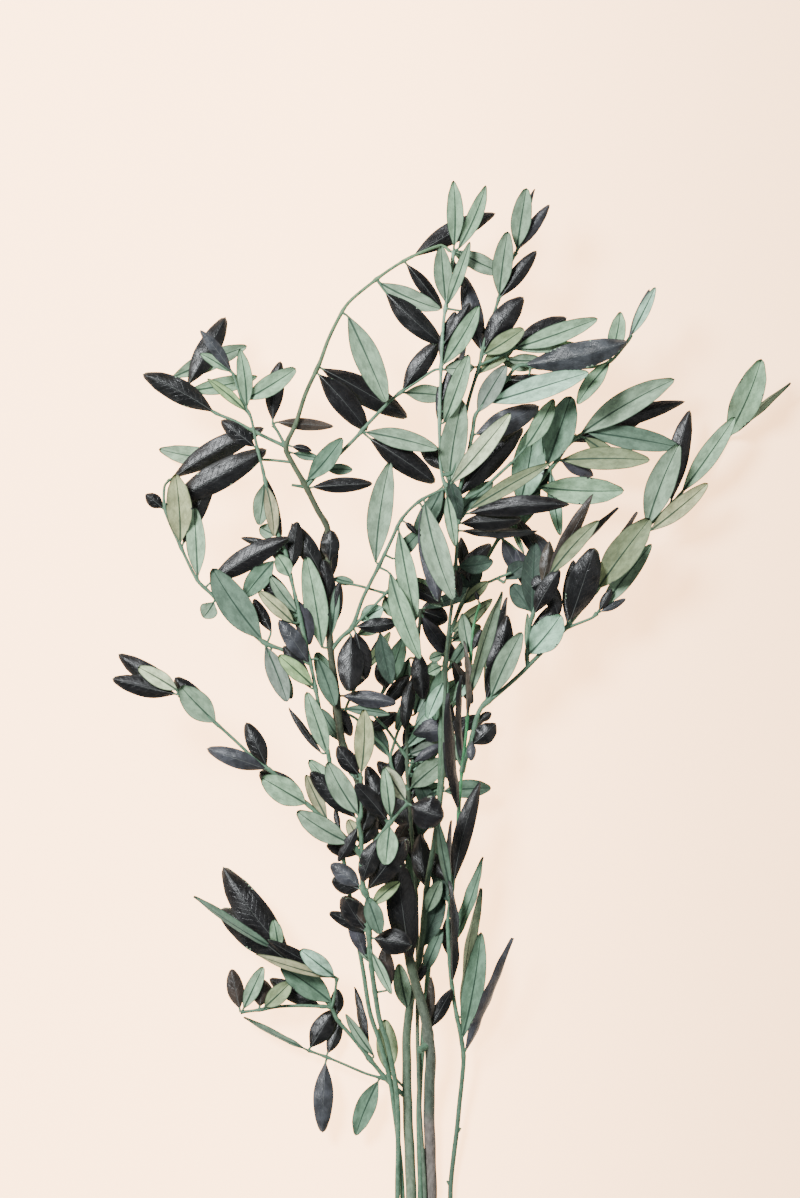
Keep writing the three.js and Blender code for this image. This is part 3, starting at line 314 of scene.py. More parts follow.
    twig(3, 1, 0.9, [
      [-31,-239], [-37,-233], [-43,-226]
    ], []),
  ]),
  branch("right_upper_branch", [
    [-388,3], [-310,3], [-250,4.2], [-200,5.5], [-160,7.5], [-120,10.5], [-80,15], [-40,18], [0,21], [60,24],
    [120,26], [400,28]
  ], [
    stem(1, 2, 1, [
      [-22,-388], [-22,-310], [-23,-250], [-20,-200], [-17,-160], [-14,-120], [-11,-80], [-9,-40], [-8,0],
      [-7,40], [-2,75], [6,98], [14,112], [22,127], [31,143], [40,156], [52,173], [62,186], [73,199],
      [80,209], [87,216]
    ], [
      [87,217,154,255,17,SAGE,1], [90,218,162,240,12,DARK,-1], [92,219,158,208,15,GREEN,0],
      [82,211,136,232,15,DARK,-1], [91,215,118,196,10,OLIVE,-1], [72,200,137,199,15,OLIVE,1],
      [74,199,98,188,10,SILVER_SHEEN,-1], [57,181,119,178,18,SAGE,1], [66,196,82,243,20,GREEN,1],
      [50,170,69,240,9,SAGE,0], [45,165,57,224,21,MINT,0], [45,163,79,172,9,OLIVE,-1],
      [70,192,75,147,9,MINT,-1], [62,187,38,150,15,GREEN,-1], [34,146,49,118,11,SILVER_SHEEN,-1],
      [42,156,50,134,4,SAGE,0], [45,160,58,133,9,DARK,-1], [12,111,6,146,8,DARK,0], [12,111,18,139,5,DARK,0],
      [24,128,3,114,17,MOSS,0], [5,98,25,115,8,OLIVE,1], [-6,74,28,103,9,OLIVE,1], [-3,72,20,84,10,SAGE,-1],
      [-5,58,-17,51,8,SAGE,-1], [-4,66,-16,61,7,SAGE,-1], [-7,-31,27,-28.5,12,GREEN,0],
      [-8,12,24,21,10,DARK,-1], [-12,-98,-10,-77,7,SILVER_SHEEN,-1]
    ]),
    twig(2, 1.1, 1, [
      [14,112], [24,114], [33,118], [41,121]
    ], []),
    twig(1, 1, 0.9, [
      [31,117], [36,114]
    ], []),
  ]),
  branch("far_right_branch", [
    [-388,3], [-310,3], [-250,9], [-200,17], [-150,24], [-100,31], [-50,37], [0,42], [50,45], [400,46]
  ], [
    stem(1, 1.8, 0.9, [
      [-0.5,-388], [-1,-308], [3,-270], [5,-250], [7,-230], [8,-215], [5,-195], [2,-180], [-1,-158],
      [-2.5,-135], [-3,-118], [0,-100], [1.5,-75], [4,-50], [6.5,-17], [8.5,0], [10,15], [12,45], [13.5,75],
      [16,90], [19,99]
    ], [
      [9,-205,20,-128,14,GREEN,1], [7,-187,20,-98,8,SAGE,0], [9,-214,42,-132,6,SILVER_SHEEN,1],
      [-1,-142,21.5,-76,8,GREEN,0], [1,-97,19.5,-23,12,DARK,1], [-1,-104,-0.5,-51,4,SILVER_SHEEN,0],
      [-1,-103,-10,-50,7,GREEN,1], [5,-17,1,10,4,SAGE,0], [2,-46,-3,38,7,DARK,1], [3,-42,-6,4,4,SILVER_SHEEN,0],
      [5,-14,6.5,50,4,DARK,0], [0.5,-166,-2.5,-90,4,DARK,1], [14,65,20,82,5,DARK,0],
      [12.5,33,34,108,9,SAGE,1], [9,20,8,74,4,BROWN,0], [19,99,16,108,3,DARK,0]
    ]),
    twig(0, 1, 0.8, [
      [3,-270], [6,-265]
    ], []),
    twig(0, 1, 0.8, [
      [-1,-307], [-3.5,-302]
    ], []),
    twig(-45.3, 1.8, 0.9, [
      [7,-17], [10,-5], [13,5], [18,24], [22,30], [30,36], [45,49], [58,62], [72,76], [79,83], [88,94],
      [98,106], [108,120], [120,136], [131,148], [145,162], [158,175], [165,184], [180,203], [192,215]
    ], [
      [13,0,30,17,13,DARK,0], [16,17,27,24,6,DARK,0], [14,8,13,-9,6,SILVER_SHEEN,0], [22,31,38,92,15,DARK,0],
      [27,31,48,80,14,SAGE,1], [22,33,24,72,4,SAGE,0], [24,33,38,104,8,DARK,-1], [80,85,98,138,20,DARK,1],
      [78,84,84,130,10,DARK,-1], [101,109,129,154,9,DARK,0], [101,107,136,158,20,OLIVE,1],
      [95,104,100,118,5,SILVER_SHEEN,0], [106,123,118,147,8,SILVER_SHEEN,-1], [92,98,128,163,4,BROWN,-1],
      [133,152,157,210,18,SAGE,1], [137,150,177,183,12,BEIGE,1], [150,170,165,234,14,DARK,0],
      [157,176,196,229,13,SAGE,1], [190,214,214,269,19,SAGE,1], [192,215,235,253,5,SAGE,1]
    ]),
    twig(2, 1.1, 0.9, [
      [79,82], [90,87], [97,90], [100,93]
    ], [
      [101,94,138,141,12,SAGE,0], [100,95,110,110,6,DARK,0], [101,94,120,103,5,SILVER_SHEEN,-1]
    ]),
    twig(4, 1.3, 0.9, [
      [51,57], [51.5,68], [54,85], [57,97], [60,108], [62,113], [66,118]
    ], [
      [51,63,75,92,20,MINT,1], [53,66,73,101,14,DARK,-1], [51,60,52,93,5,SAGE,-1], [56,92,41,113,13,MOSS,-1],
      [54,90,57,142,15,MOSS,0], [57,90,74,123,12,DARK,1], [60,112,67,143,9,BROWN,0],
      [64,116,97,175,9,BROWN,1], [66,117,101,157,11,OLIVE,1], [66,118,115,166,3,DARK,-1]
    ]),
  ]),
  branch("inner_branch", [
    [-388,8.6], [-250,8.8], [-200,8.6], [-150,8.6], [-100,9], [-50,10], [0,12], [60,14], [400,15]
  ], [
    stem(1, 1.5, 1, [
      [-19,-388], [-19,-310], [-22.5,-250], [-24,-200], [-24,-150], [-25,-100], [-28,-60], [-31,-20],
      [-31,10], [-29,40], [-25,60], [-23,80], [-22,96]
    ], [
      [-22,93,7,56,11,SILVER_SHEEN,1], [-20,95,-3,88,14,DARK,-1], [-23,70,-20,33,12,DARK,1],
      [-27,52,-33,12,9,DARK,0], [-31,40,-39,12,8,GREEN,0], [-26,14,6,47,13,MINT,0], [-29,9,2,13,15,SILVER_SHEEN,1],
      [-29,-10,-17,9,12,MINT,0], [-27,-11,-6,2,7,SILVER_SHEEN,0], [-28,-30,-5,-9,15,SAGE,0],
      [-34,-17,-22,-11,6,MINT,0], [-26,-32,-5,-28,10,GREEN,-1], [-22,-104,-25,-50,13,GREEN,0],
      [-29,-50,-39,-68,9,BROWN,-1], [-28,-60,-49,-30,12,DARK,-1], [-30,-30,-52,-10,11,DARK,-1],
      [-23,84,-11,104,9,DARK,-1], [-24,-20,-4,34,14,MINT,-1], [-26,22,-11,60,13,MINT,-1]
    ]),
    twig(2, 1.2, 1, [
      [-30,-30], [-40,-18], [-43,-8], [-41,0], [-38,10], [-36,14]
    ], []),
    twig(3, 1.1, 0.9, [
      [-43,-8], [-47,0], [-58,10], [-67,20], [-74,25], [-66,45], [-63,60], [-66,75]
    ], [
      [-62,48,-49,78,5,DARK,-1], [-66,78,-45,88,9,SAGE,-1], [-62,52,-43,80,7,OLIVE,-1]
    ]),
    twig(3, 1.1, 0.9, [
      [-31,-8], [-38,2], [-45,12], [-56,25], [-50,35]
    ], [
      [-46,40,-49,62,13,DARK,1], [-48,40,-34,76,12,GREEN,-1]
    ]),
    twig(1, 1, 0.9, [
      [-31,-20], [-27,-9]
    ], []),
  ]),
]
print(len(branches), "branches,", sum(len(t["leaves"]) for b in branches for t in b["twigs"]), "leaves")

# %% [markdown]
# ## Laying the twigs in space
#
# A photograph gives two directions. The third comes from a height along y for each branch, which keeps the
# branches in layers. A side twig starts on the axis of an earlier twig, and droops or rises towards its
# end.


# %% Twig axes
TOUCHING = 1.5  # a twig that starts nearer than this to a stem's axis starts on it


def height_at(heights, y):
    if y <= heights[0][0]:
        return heights[0][1]
    for (y0, z0), (y1, z1) in zip(heights, heights[1:]):
        if y <= y1:
            return z0 + (z1 - z0) * (y - y0) / (y1 - y0)
    return heights[-1][1]


def distance(a, b):
    dx = a[0] - b[0]
    dy = a[1] - b[1]
    return math.sqrt(dx * dx + dy * dy)


def nearest(axis, x, y):
    best, least = None, math.inf
    for a, b in zip(axis, axis[1:]):
        dx = b[0] - a[0]
        dy = b[1] - a[1]
        along = ((x - a[0]) * dx + (y - a[1]) * dy) / (dx * dx + dy * dy + 1e-9)
        t = min(1, max(0, along))
        p = [v + (w - v) * t for v, w in zip(a, b)]
        d = distance(p, [x, y])
        if d < least:
            best, least = p, d
    return best


def lay_twigs(one):
    axes = []
    for t in one["twigs"]:
        route, offset, root = t["route"], 0, None
        if axes:
            found = [nearest(axis, *route[0]) for axis in axes]
            root = min(found, key=lambda p: distance(p, route[0]))
            far = distance(root, route[0]) > TOUCHING
            route = [root[:2]] + (route if far else route[1:])
            offset = root[2] - height_at(one["heights"], root[1])
        axis = []
        for i, (x, y) in enumerate(route):
            f = i / (len(route) - 1)
            bent = f if root and t["rise"] > 0 else f * f * f
            z = height_at(one["heights"], y) + offset + t["rise"] * bent
            axis.append([x, y, z, t["last"] + (t["first"] - t["last"]) * (1 - f) ** t["thinning"]])
        axes.append(axis)
    return axes


for one in branches:
    one["axes"] = lay_twigs(one)
print(sum(len(one["axes"]) for one in branches), "twig axes")

# %% [markdown]
# ## Laying the leaves
#
# A leaf is a line from its root on the twig, over the blade's base, to its tip. A leaf that looks narrower
# than a leaf can be is seen on edge, so it keeps its true width and is rolled about its own length.


# %% Leaf lines
FULLNESS = 1.12  # width built for the width seen
NARROWEST = 0.17  # least width for a leaf's length
STEEPEST_ROLL = 1.05
SHORTEST_STALK = 1.5
BLUNTNESS, SHARPENING = 0.88, 0.07  # the tip's roundness, and what each width of length takes off it
SHARPEST, BLUNTEST = 0.35, 0.66
BASE_POWER, BASE_WEDGE = 1.05, 0.06
FRONT_TILT, LOOSE_TILT, MOST_RISE = 0.15, 0.07, 9
ARCH_SHARE, BOW_SHARE = 0.03, 0.035
FLOOR_DROP, DROOP_ARCH = -0.2, 3


def vary(i, k):
    """A repeatable number from -1 to 1."""
    return ((i + 3) * 7919 + k * 10473 + i * i * 31) % 1000 / 500 - 1


def within(limit, value):
    return max(-limit, min(limit, value))


def lay_leaf(row, axis, number):
    bx, by, tx, ty, seen, side, order = row
    root = nearest(axis, bx, by)
    run = distance([bx, by], [tx, ty])
    ux, uy = (tx - bx) / run, (ty - by) / run
    least = root[3] + SHORTEST_STALK
    ahead = (bx - root[0]) * ux + (by - root[1]) * uy
    base = [bx, by]
    if distance(root, base) < least or ahead < 0:
        base = [root[0] + ux * least, root[1] + uy * least]
    petiole = distance(root, base)
    length = distance(base, [tx, ty])
    width = max(seen * FULLNESS, NARROWEST * length)
    roll = min(STEEPEST_ROLL, math.acos(min(1, seen * FULLNESS / width)))
    tilt = order * FRONT_TILT if order in (1, -1) else LOOSE_TILT * vary(number, 1)
    reach = petiole + length
    drooping = order == FLOOR
    return {
        "number": number, "root": root, "base": base, "tip": [tx, ty], "petiole": petiole,
        "length": length, "width": width,
        "blunt": max(SHARPEST, min(BLUNTEST, BLUNTNESS - SHARPENING * length / width)),
        "roll": -roll if vary(number, 2) < 0 else roll, "side": side,
        "fixed": drooping, "end": FLOOR_DROP - root[2] if drooping else within(MOST_RISE, tilt * reach),
        "middle": DROOP_ARCH if drooping else ARCH_SHARE * reach * (1 + vary(number, 3)),
        "bow": BOW_SHARE * length * vary(number, 4),
    }


def outline(leaf, t):
    """Share of the full width along the blade: a wedge at the base, and rounder at the tip."""
    lens = math.sin(math.pi * t) ** (BASE_POWER - leaf["blunt"] * t)
    return lens * (1 - BASE_WEDGE) + BASE_WEDGE * (1 - t)


def share(leaf, t):
    reach = leaf["petiole"] + leaf["length"]
    return ((1 + t) * leaf["petiole"] if t < 0 else leaf["petiole"] + t * leaf["length"]) / reach


def leaf_height(leaf, u):
    return leaf["root"][2] + leaf["end"] * u + leaf["middle"] * 4 * u * (1 - u)


def on_leaf(leaf, t):
    """A point on the middle line: t runs from -1 at the root over 0 at the blade's base to 1 at the tip."""
    z = leaf_height(leaf, share(leaf, t))
    (bx, by), (tx, ty) = leaf["base"], leaf["tip"]
    if t < 0:
        return [bx + (leaf["root"][0] - bx) * -t, by + (leaf["root"][1] - by) * -t, z]
    dx, dy = (tx - bx) / leaf["length"], (ty - by) / leaf["length"]
    side = leaf["bow"] * 4 * t * (1 - t)
    return [bx + dx * leaf["length"] * t - dy * side, by + dy * leaf["length"] * t + dx * side, z]


number = 0
for one in branches:
    one["grown"] = []
    for t, axis in zip(one["twigs"], one["axes"]):
        for row in t["leaves"]:
            one["grown"].append(lay_leaf(row, axis, number))
            number += 1
print(number, "leaf lines")

# %% [markdown]
# ## Bending the leaves clear of each other
#
# Real leaves lie over and under each other and never pass through. Wherever two leaves, or a leaf and a
# stem, meet seen from above, the upper one is tilted up and the lower one down, a little at a time, until
# they pass.


# %% Clearance
SAMPLED = (-0.4, 0.04, 0.16, 0.28, 0.4, 0.52, 0.64, 0.76, 0.88, 1)
STALK_ROOM, BLADE_ROOM, LEAF_FOLD = 1, 0.8, 0.1
ON_EDGE = 0.065  # half width of a leaf seen on edge, for its length
STEM_STEP, STEM_ROOM = 4, 1.2
LEAF_GAP, SIDE_GAP, FLOOR_GAP = 1, 0.5, 0.5
NEAR_ROOT = 0.28  # leaves of one branch may meet this near their roots
CLOSE_KIN = 0.8  # leaves of one branch keep this share of their room, and no gap
NEIGHBOURS = 175
ARCHING, STIFFNESS = 0.5, 0.02
STEEPEST_TILT, DEEPEST_ARCH = 0.55, 0.16
PULL, PASSES = 0.35, 60


def leaf_samples(leaf):
    out = []
    for t in SAMPLED:
        x, y, _ = on_leaf(leaf, t)
        half = STALK_ROOM if t < 0 else leaf["width"] / 2 * outline(leaf, t)
        wide = max(half * math.cos(leaf["roll"]), leaf["length"] * ON_EDGE)
        high = BLADE_ROOM + half * (abs(math.sin(leaf["roll"])) + LEAF_FOLD)
        out.append([share(leaf, t), x, y, wide, high])
    return out


def stem_samples(axis):
    out = []
    for a, b in zip(axis, axis[1:]):
        steps = math.ceil(distance(a, b) / STEM_STEP)
        for s in range(steps):
            p = [v + (w - v) * s / steps for v, w in zip(a, b)]
            out.append([p[2], p[0], p[1], p[3] + STEM_ROOM, p[3]])
    return out


def bend(leaf, u, dz):
    """Moves the leaf by dz at share u of its reach, mostly by tilting it."""
    if leaf["fixed"]:
        return
    q = 4 * u * (1 - u) * ARCHING
    norm = u * u + q * q + STIFFNESS
    leaf["end"] = within(STEEPEST_TILT * leaf["length"], leaf["end"] + dz * u / norm)
    leaf["middle"] = within(DEEPEST_ARCH * leaf["length"], leaf["middle"] + dz * q * ARCHING / norm)


def meetings(a, b, same, stem):
    found, total = [], 0
    for s in a["samples"]:
        if same and s[0] < NEAR_ROOT:
            continue
        for o in b["samples"]:
            if same and not stem and o[0] < NEAR_ROOT:
                continue
            dx, dy, reach = s[1] - o[1], s[2] - o[2], s[3] + o[3] + SIDE_GAP
            if dx * dx + dy * dy > reach * reach:
                continue
            other = o[0] if stem else leaf_height(b["leaf"], o[0])
            total += leaf_height(a["leaf"], s[0]) - other
            need = (s[4] + o[4]) * CLOSE_KIN if same else s[4] + o[4] + LEAF_GAP
            found.append((s[0], o[0], need))
    above = 1 if total >= 0 else -1
    return [(a["leaf"], None if stem else b["leaf"], u, v, need, above) for u, v, need in found]


def all_meetings():
    leaves, stems = [], []
    for owner, one in enumerate(branches):
        leaves += [{"leaf": f, "owner": owner, "samples": leaf_samples(f)} for f in one["grown"]]
        stems += [{"owner": owner, "samples": stem_samples(axis)} for axis in one["axes"]]
    found = []
    for i, a in enumerate(leaves):
        for b in leaves[i + 1:]:
            if distance(a["leaf"]["base"], b["leaf"]["base"]) < NEIGHBOURS:
                found += meetings(a, b, a["owner"] == b["owner"], False)
        for b in stems:
            found += meetings(a, b, a["owner"] == b["owner"], True)
    return leaves, found


def settle():
    leaves, contacts = all_meetings()
    for _ in range(PASSES):
        for a, b, u, v, need, above in contacts:
            other = leaf_height(b, v) if b else v
            lack = need - above * (leaf_height(a, u) - other)
            if lack <= 0:
                continue
            part = 2 * PULL if not b or b["fixed"] else 0 if a["fixed"] else PULL
            bend(a, u, above * lack * part)
            if b:
                bend(b, v, -above * lack * (2 * PULL if a["fixed"] else PULL))
        for item in leaves:
            for u, _x, _y, _w, high in item["samples"]:
                lack = high + FLOOR_GAP - leaf_height(item["leaf"], u)
                if lack > 0:
                    bend(item["leaf"], u, lack)
    print(len(contacts), "meetings cleared in", PASSES, "passes")
    return leaves


leaves = settle()

# %% [markdown]
# ## The leaves in the depth
#
# The middle of the real bunch is so full that hardly any floor shows through. The plain solids leave out
# the leaves that lie deepest, to stay small, so they are added here. The others have settled and keep their
# place: only the added leaves move until they pass.

# %% Inner leaves
INNER_LEAVES = [
    [-20,95,25,115,9,MOSS,-1], [-33,-2,6,41,13,MINT,-1], [-15,52,17,82,8,MINT,-1], [-5,78,27,101,9,OLIVE,0],
    [-8,60,-12,18,12,GREEN,-1], [-62,82,-48,97,12,MINT,-1], [-36,-9,-6,2,9,GREY,-1],
    [-59,-99,-33,-63,17,DARK,1], [-47,-127,-74,-104,14,DARK,1], [-30,5,-45,-30,12,DARK,-1],
    [-25,-60,-38,-25,13,DARK,-1], [-18,-100,-22,-60,13,DARK,-1], [-8,-60,-1,-96,9,DARK,-1],
    [-30,-40,-18,-4,12,DARK,-1], [-5,-20,9,16,10,DARK,-1], [-10,42,-1,5,10,DARK,-1],
    [-12,100,-3,62,11,DARK,-1], [2,118,27,141,10,DARK,-1], [-22,133,-8,100,10,DARK,-1],
    [-35,110,-27,78,11,GREEN,-1], [12,258,47,288,12,OLIVE,-1], [53,257,22,244,11,DARK,-1],
    [50,207,70,241,12,SAGE,-1], [0,60,14,30,9,DARK,-1], [-60,10,-38,24,10,DARK,-1],
    [-72,40,-58,68,12,DARK,-1], [-88,78,-78,114,9,DARK,1], [-48,-60,-62,-92,13,DARK,-1],
    [-30,-150,-40,-112,11,DARK,-1], [-8,-150,-3,-118,9,DARK,-1], [-100,150,-84,118,12,DARK,-1],
    [-6,232,6,268,12,DARK,-1], [-4,190,-22,214,12,DARK,-1], [4,160,28,184,11,GREEN,-1],
    [38,96,52,128,11,MOSS,-1], [-45,-10,-60,20,10,MOSS,-1], [-45,108,-30,84,11,SAGE,-1],
    [-30,62,-39,36,9,GREEN,-1], [-2,48,-17,20,10,MINT,-1], [18,62,7,93,9,SAGE,-1],
    [-70,-72,-52,-48,10,DARK,-1], [-76,0,-91,27,9,GREEN,-1], [-3,-110,-14,-80,9,MOSS,-1],
    [-25,-20,-11,-49,11,MOSS,-1], [8,301,25,271,11,DARK,-1], [-8,262,2,301,10,DARK,-1],
    [61,262,34,268,9,SAGE,-1], [70,197,51,175,10,MOSS,-1], [-150,139,-119,128,13,DARK,-1],
    [-118,102,-99,71,12,SILVER_SHEEN,-1], [-128,61,-111,34,11,SAGE,-1], [-111,90,-133,121,12,MOSS,-1],
    [70,141,55,111,11,DARK,-1], [85,122,73,91,11,DARK,-1], [-123,129,-143,105,14,GREEN,-1],
    [-93,62,-81,29,12,GREEN,-1], [-50,80,-42,44,12,MOSS,-1], [-30,118,-7,98,12,SAGE,-1],
    [-58,-36,-45,-57,12,DARK,-1], [-34,-84,-30,-43,14,DARK,-1], [-18,-123,-4,-92,13,GREEN,-1],
    [-4,-92,-17,-71,10,DARK,-1], [-44,-168,-47,-138,11,BROWN,-1], [-4,182,-24,142,14,MOSS,-1],
    [-2,186,5,158,10,MOSS,-1], [56,149,70,127,9,SILVER_SHEEN,-1], [44,138,55,106,12,SILVER_SHEEN,-1],
    [3,125,28,129,12,MOSS,-1], [104,121,128,152,12,DARK,-1], [-20,20,-26,-12,12,DARK,-1],
    [-48,30,-30,50,10,DARK,-1], [-70,-20,-62,-50,11,MOSS,-1], [-12,-30,-22,-62,12,MOSS,-1],
    [-62,-100,-50,-128,12,GREEN,-1], [0,30,16,58,9,MINT,-1], [-85,30,-70,8,10,DARK,-1],
    [-16,10,-3,-22,10,GREEN,-1], [-40,130,-22,150,10,GREEN,-1]
]


def nearest_axis(x, y):
    """The branch and the twig axis that pass closest to a place in the picture."""
    best, least = None, math.inf
    for one in branches:
        for axis in one["axes"]:
            d = distance(nearest(axis, x, y), [x, y])
            if d < least:
                best, least = (one, axis), d
    return best


for item in leaves:
    item["leaf"]["fixed"] = True
for row in INNER_LEAVES:
    one, axis = nearest_axis(*row[:2])
    one["grown"].append(lay_leaf(row, axis, number))
    number += 1
settle()
print(len(INNER_LEAVES), "inner leaves")

# %% [markdown]
# ## Gathering a branch's mesh
#
# A branch is one grown piece, so its stems, leaf stalks and blades are gathered in one mesh. Each point
# also carries what the finishes need: a tint, its place on the leaf in millimetres, and its share of the
# leaf's width and length. Attributes like these keep a vein on its leaf without unwrapping every blade.


# %% A growing mesh
class Growth:
    def __init__(self):
        self.points, self.faces, self.kinds = [], [], []
        self.tint, self.place, self.spot = [], [], []

    def add(self, points, faces, kind, tint, place, spot):
        start = len(self.points)
        self.points += points
        self.faces += [[start + i for i in face] for face in faces]
        self.kinds += [kind] * len(faces)
        self.tint += tint
        self.place += place
        self.spot += spot

    def object(self, name, materials):
        mesh = bpy.data.meshes.new(name)
        spread = np.array(self.points)
        spread[:, 2] = np.maximum(spread[:, 2], 0)
        mesh.from_pydata((spread * MM).tolist(), [], self.faces)
        mesh.polygons.foreach_set("use_smooth", [True] * len(self.faces))
        for m in materials:
            mesh.materials.append(m)
        mesh.polygons.foreach_set("material_index", self.kinds)
        tint = mesh.color_attributes.new("tint", "FLOAT_COLOR", "POINT")
        tint.data.foreach_set("color", np.hstack([self.tint, np.ones((len(self.tint), 1))]).ravel())
        for label, values in (("place", self.place), ("spot", self.spot)):
            layer = mesh.attributes.new(label, "FLOAT_VECTOR", "POINT")
            layer.data.foreach_set("vector", np.array(values, float).ravel())
        mesh.update()
        made = bpy.data.objects.new(name, mesh)
        bpy.context.scene.collection.objects.link(made)
        return made


UPPER, UNDER, BARK, CUT = range(4)
print("materials in order: upper side, underside, bark, cut wood")

# %% [markdown]
# ## Colours
#
# Screen colours set against the photograph, one for each finish, made linear for the shaders.
# Every leaf is a little lighter or darker than its neighbour, and leans a little to violet or to green.


# %% Tints
def linear(r, g, b):
    return [c / 255 / 12.92 if c < 10.3 else ((c / 255 + 0.055) / 1.055) ** 2.4 for c in (r, g, b)]


# The silver colour is a painted sheen, a lighter grey for the dark upper side.
FACING = {
    DARK: (19, 19, 20), SILVER_SHEEN: (56, 57, 62), BROWN: (58, 50, 44), SAGE: (138, 166, 135),
    MINT: (158, 194, 168), OLIVE: (136, 150, 110), BEIGE: (164, 164, 124), CREAM: (196, 206, 168),
    GREEN: (100, 128, 106), YELLOW: (150, 176, 122), GREY: (134, 150, 134), MOSS: (60, 76, 66),
}
HIDDEN_UPPER = (38, 40, 40)
HIDDEN_UNDER = (140, 164, 138)
LIGHT_SPREAD, LEAN_SPREAD = 0.2, 0.05
LEAN = (1, -0.4, 0.8)


def leaf_tints(leaf):
    """Linear tints of the upper side and of the underside."""
    i = leaf["number"]
    light = 1 + LIGHT_SPREAD * vary(i, 5)
    lean = LEAN_SPREAD * vary(i, 6)
    facing = [c * light * (1 + k * lean) for c, k in zip(linear(*FACING[leaf["side"]]), LEAN)]
    if leaf["side"] < SAGE:
        return facing, linear(*HIDDEN_UNDER)
    return linear(*HIDDEN_UPPER), facing


print(len(FACING), "finishes")

# %% [markdown]
# ## The blade
#
# An olive leaf is long and lance-shaped. Its margins roll towards the underside, so the upper side is domed
# and the underside is a shallow trough. The blade is a thin lens in section: two grids that meet at the
# margin. A single sheet would be lighter, but it would have no edge in the side views and no second colour.


# %% Blades
ROWS, COLUMNS = 24, 8
CURL = 0.16
THICKNESS = 0.36
TIP_CROWDING = 1.15
POINTED, POINTED_SPREAD, POINT_LENGTH = 0.26, 0.14, 0.2
FEWEST_WAVES, MORE_WAVES = 1.5, 1.2
WAVE_SHARE, CALMEST_WAVE, OTHER_MARGIN = 0.05, 0.4, 1.7
KEEL, TROUGH_FROM, ROLL_FROM = 0.45, 0.12, 0.3
THIN_TIP = 0.2
LOOK_AHEAD = 0.04
NEXT_LEAF = 3.7  # how far apart two leaves lie in the mottling


def unit(v):
    return v / np.sqrt((v * v).sum())


def leaf_frame(leaf, t):
    """The middle point with the directions across and over the blade."""
    a = np.array(on_leaf(leaf, max(0, t - LOOK_AHEAD)))
    b = np.array(on_leaf(leaf, min(1, t + LOOK_AHEAD)))
    along = unit(b - a)
    level = unit(np.cross([0, 0, 1], along))
    normal = np.cross(along, level)
    roll = leaf["roll"] * min(1, t / ROLL_FROM)
    across = level * math.cos(roll) + normal * math.sin(roll)
    over = normal * math.cos(roll) - level * math.sin(roll)
    return np.array(on_leaf(leaf, t)), across, over


def grow_blade(leaf, growth):
    i = leaf["number"]
    upper, under = leaf_tints(leaf)
    dark = leaf["side"] < SAGE
    fold = (-1 if dark else 1) * CURL * leaf["width"]
    point = POINTED + POINTED_SPREAD * vary(i, 12)
    waves = FEWEST_WAVES + MORE_WAVES * (1 + vary(i, 7))
    wave = WAVE_SHARE * leaf["width"] * (CALMEST_WAVE + abs(vary(i, 8)))
    for face in (1, -1):
        points, place, spot = [], [], []
        for r in range(ROWS + 1):
            t = 1 - (1 - r / ROWS) ** TIP_CROWDING
            p, across, over = leaf_frame(leaf, t)
            half = leaf["width"] / 2 * outline(leaf, t) * (1 - point * max(0, t / POINT_LENGTH - 4))
            for c in range(COLUMNS + 1):
                u = -1 + 2 * c / COLUMNS
                bulge = face * THICKNESS * (1 - u * u) * min(1, 3 * (1 - t) + THIN_TIP)
                trough = fold * ((1 - KEEL) * abs(u) + KEEL * u * u - KEEL) * min(1, t / TROUGH_FROM)
                phase = 2 * math.pi * (waves * t + vary(i, 9)) + (u > 0) * OTHER_MARGIN
                margin = wave * u * u * math.sin(phase)
                lift = bulge + trough + margin * 4 * t * (1 - t)
                points.append((p + across * half * u + over * lift).tolist())
                place.append([half * u, leaf["length"] * t, i * NEXT_LEAF + face])
                spot.append([u, t, half])
        faces = []
        for r in range(ROWS):
            for c in range(COLUMNS):
                a = r * (COLUMNS + 1) + c
                quad = [a, a + 1, a + COLUMNS + 2, a + COLUMNS + 1]
                faces.append(quad if face < 0 else quad[::-1])
        shows_upper = (face > 0) == dark
        kind, tint = (UPPER, upper) if shows_upper else (UNDER, under)
        growth.add(points, faces, kind, [tint] * len(points), place, spot)


print(ROWS * COLUMNS * 2, "faces a blade")

# %% [markdown]
# ## Stems, twigs and leaf stalks
#
# A stem is a tapering tube along a smooth curve. It swells a little where leaves leave it, and its cut
# end shows pale wood. The thick stems have grey-brown bark low down, the young twigs are still green.

# %% Stem colours
STALK = (90, 122, 98)
STALK_SHADE = 0.95
YOUNG = (82, 152, 102)
CUT_WOOD = (176, 168, 120)
STEM_SPREAD = 0.1

# Colours along a main stem, as (height up the page, colour).
ALONG = {
    "arching_branch": [
        (-262, (112, 104, 98)), (-250, (78, 90, 78)), (-205, (96, 104, 92)), (-150, (70, 82, 64)),
        (60, (58, 64, 50)), (160, (64, 72, 54)), (240, (84, 102, 76)), (330, (100, 132, 98))],
    "centre_branch": [
        (-300, (116, 132, 108)), (-230, (92, 112, 92)), (-160, (84, 100, 78)), (-90, (76, 98, 78)),
        (90, (72, 92, 74)), (150, STALK), (200, (124, 160, 134))],
    "right_upper_branch": [
        (-250, STALK), (80, (84, 112, 88)), (110, (62, 82, 62)), (150, (70, 96, 72)), (200, STALK)],
    "far_right_branch": [
        (-300, (84, 112, 92)), (-240, STALK), (-100, (92, 130, 104)), (-40, YOUNG), (100, YOUNG)],
    "inner_branch": [(-388, (96, 116, 96)), (90, (78, 92, 74))],
}


def stem_tint(name, main, y, i):
    stops = ALONG.get(name) if main else None
    if not stops:
        colour = STALK
    else:
        ys = [stop[0] for stop in stops]
        colour = [float(np.interp(y, ys, [stop[1][k] for stop in stops])) for k in range(3)]
    light = 1 + STEM_SPREAD * vary(i, 11)
    return [c * light for c in linear(*colour)]


print("stem colours ready")


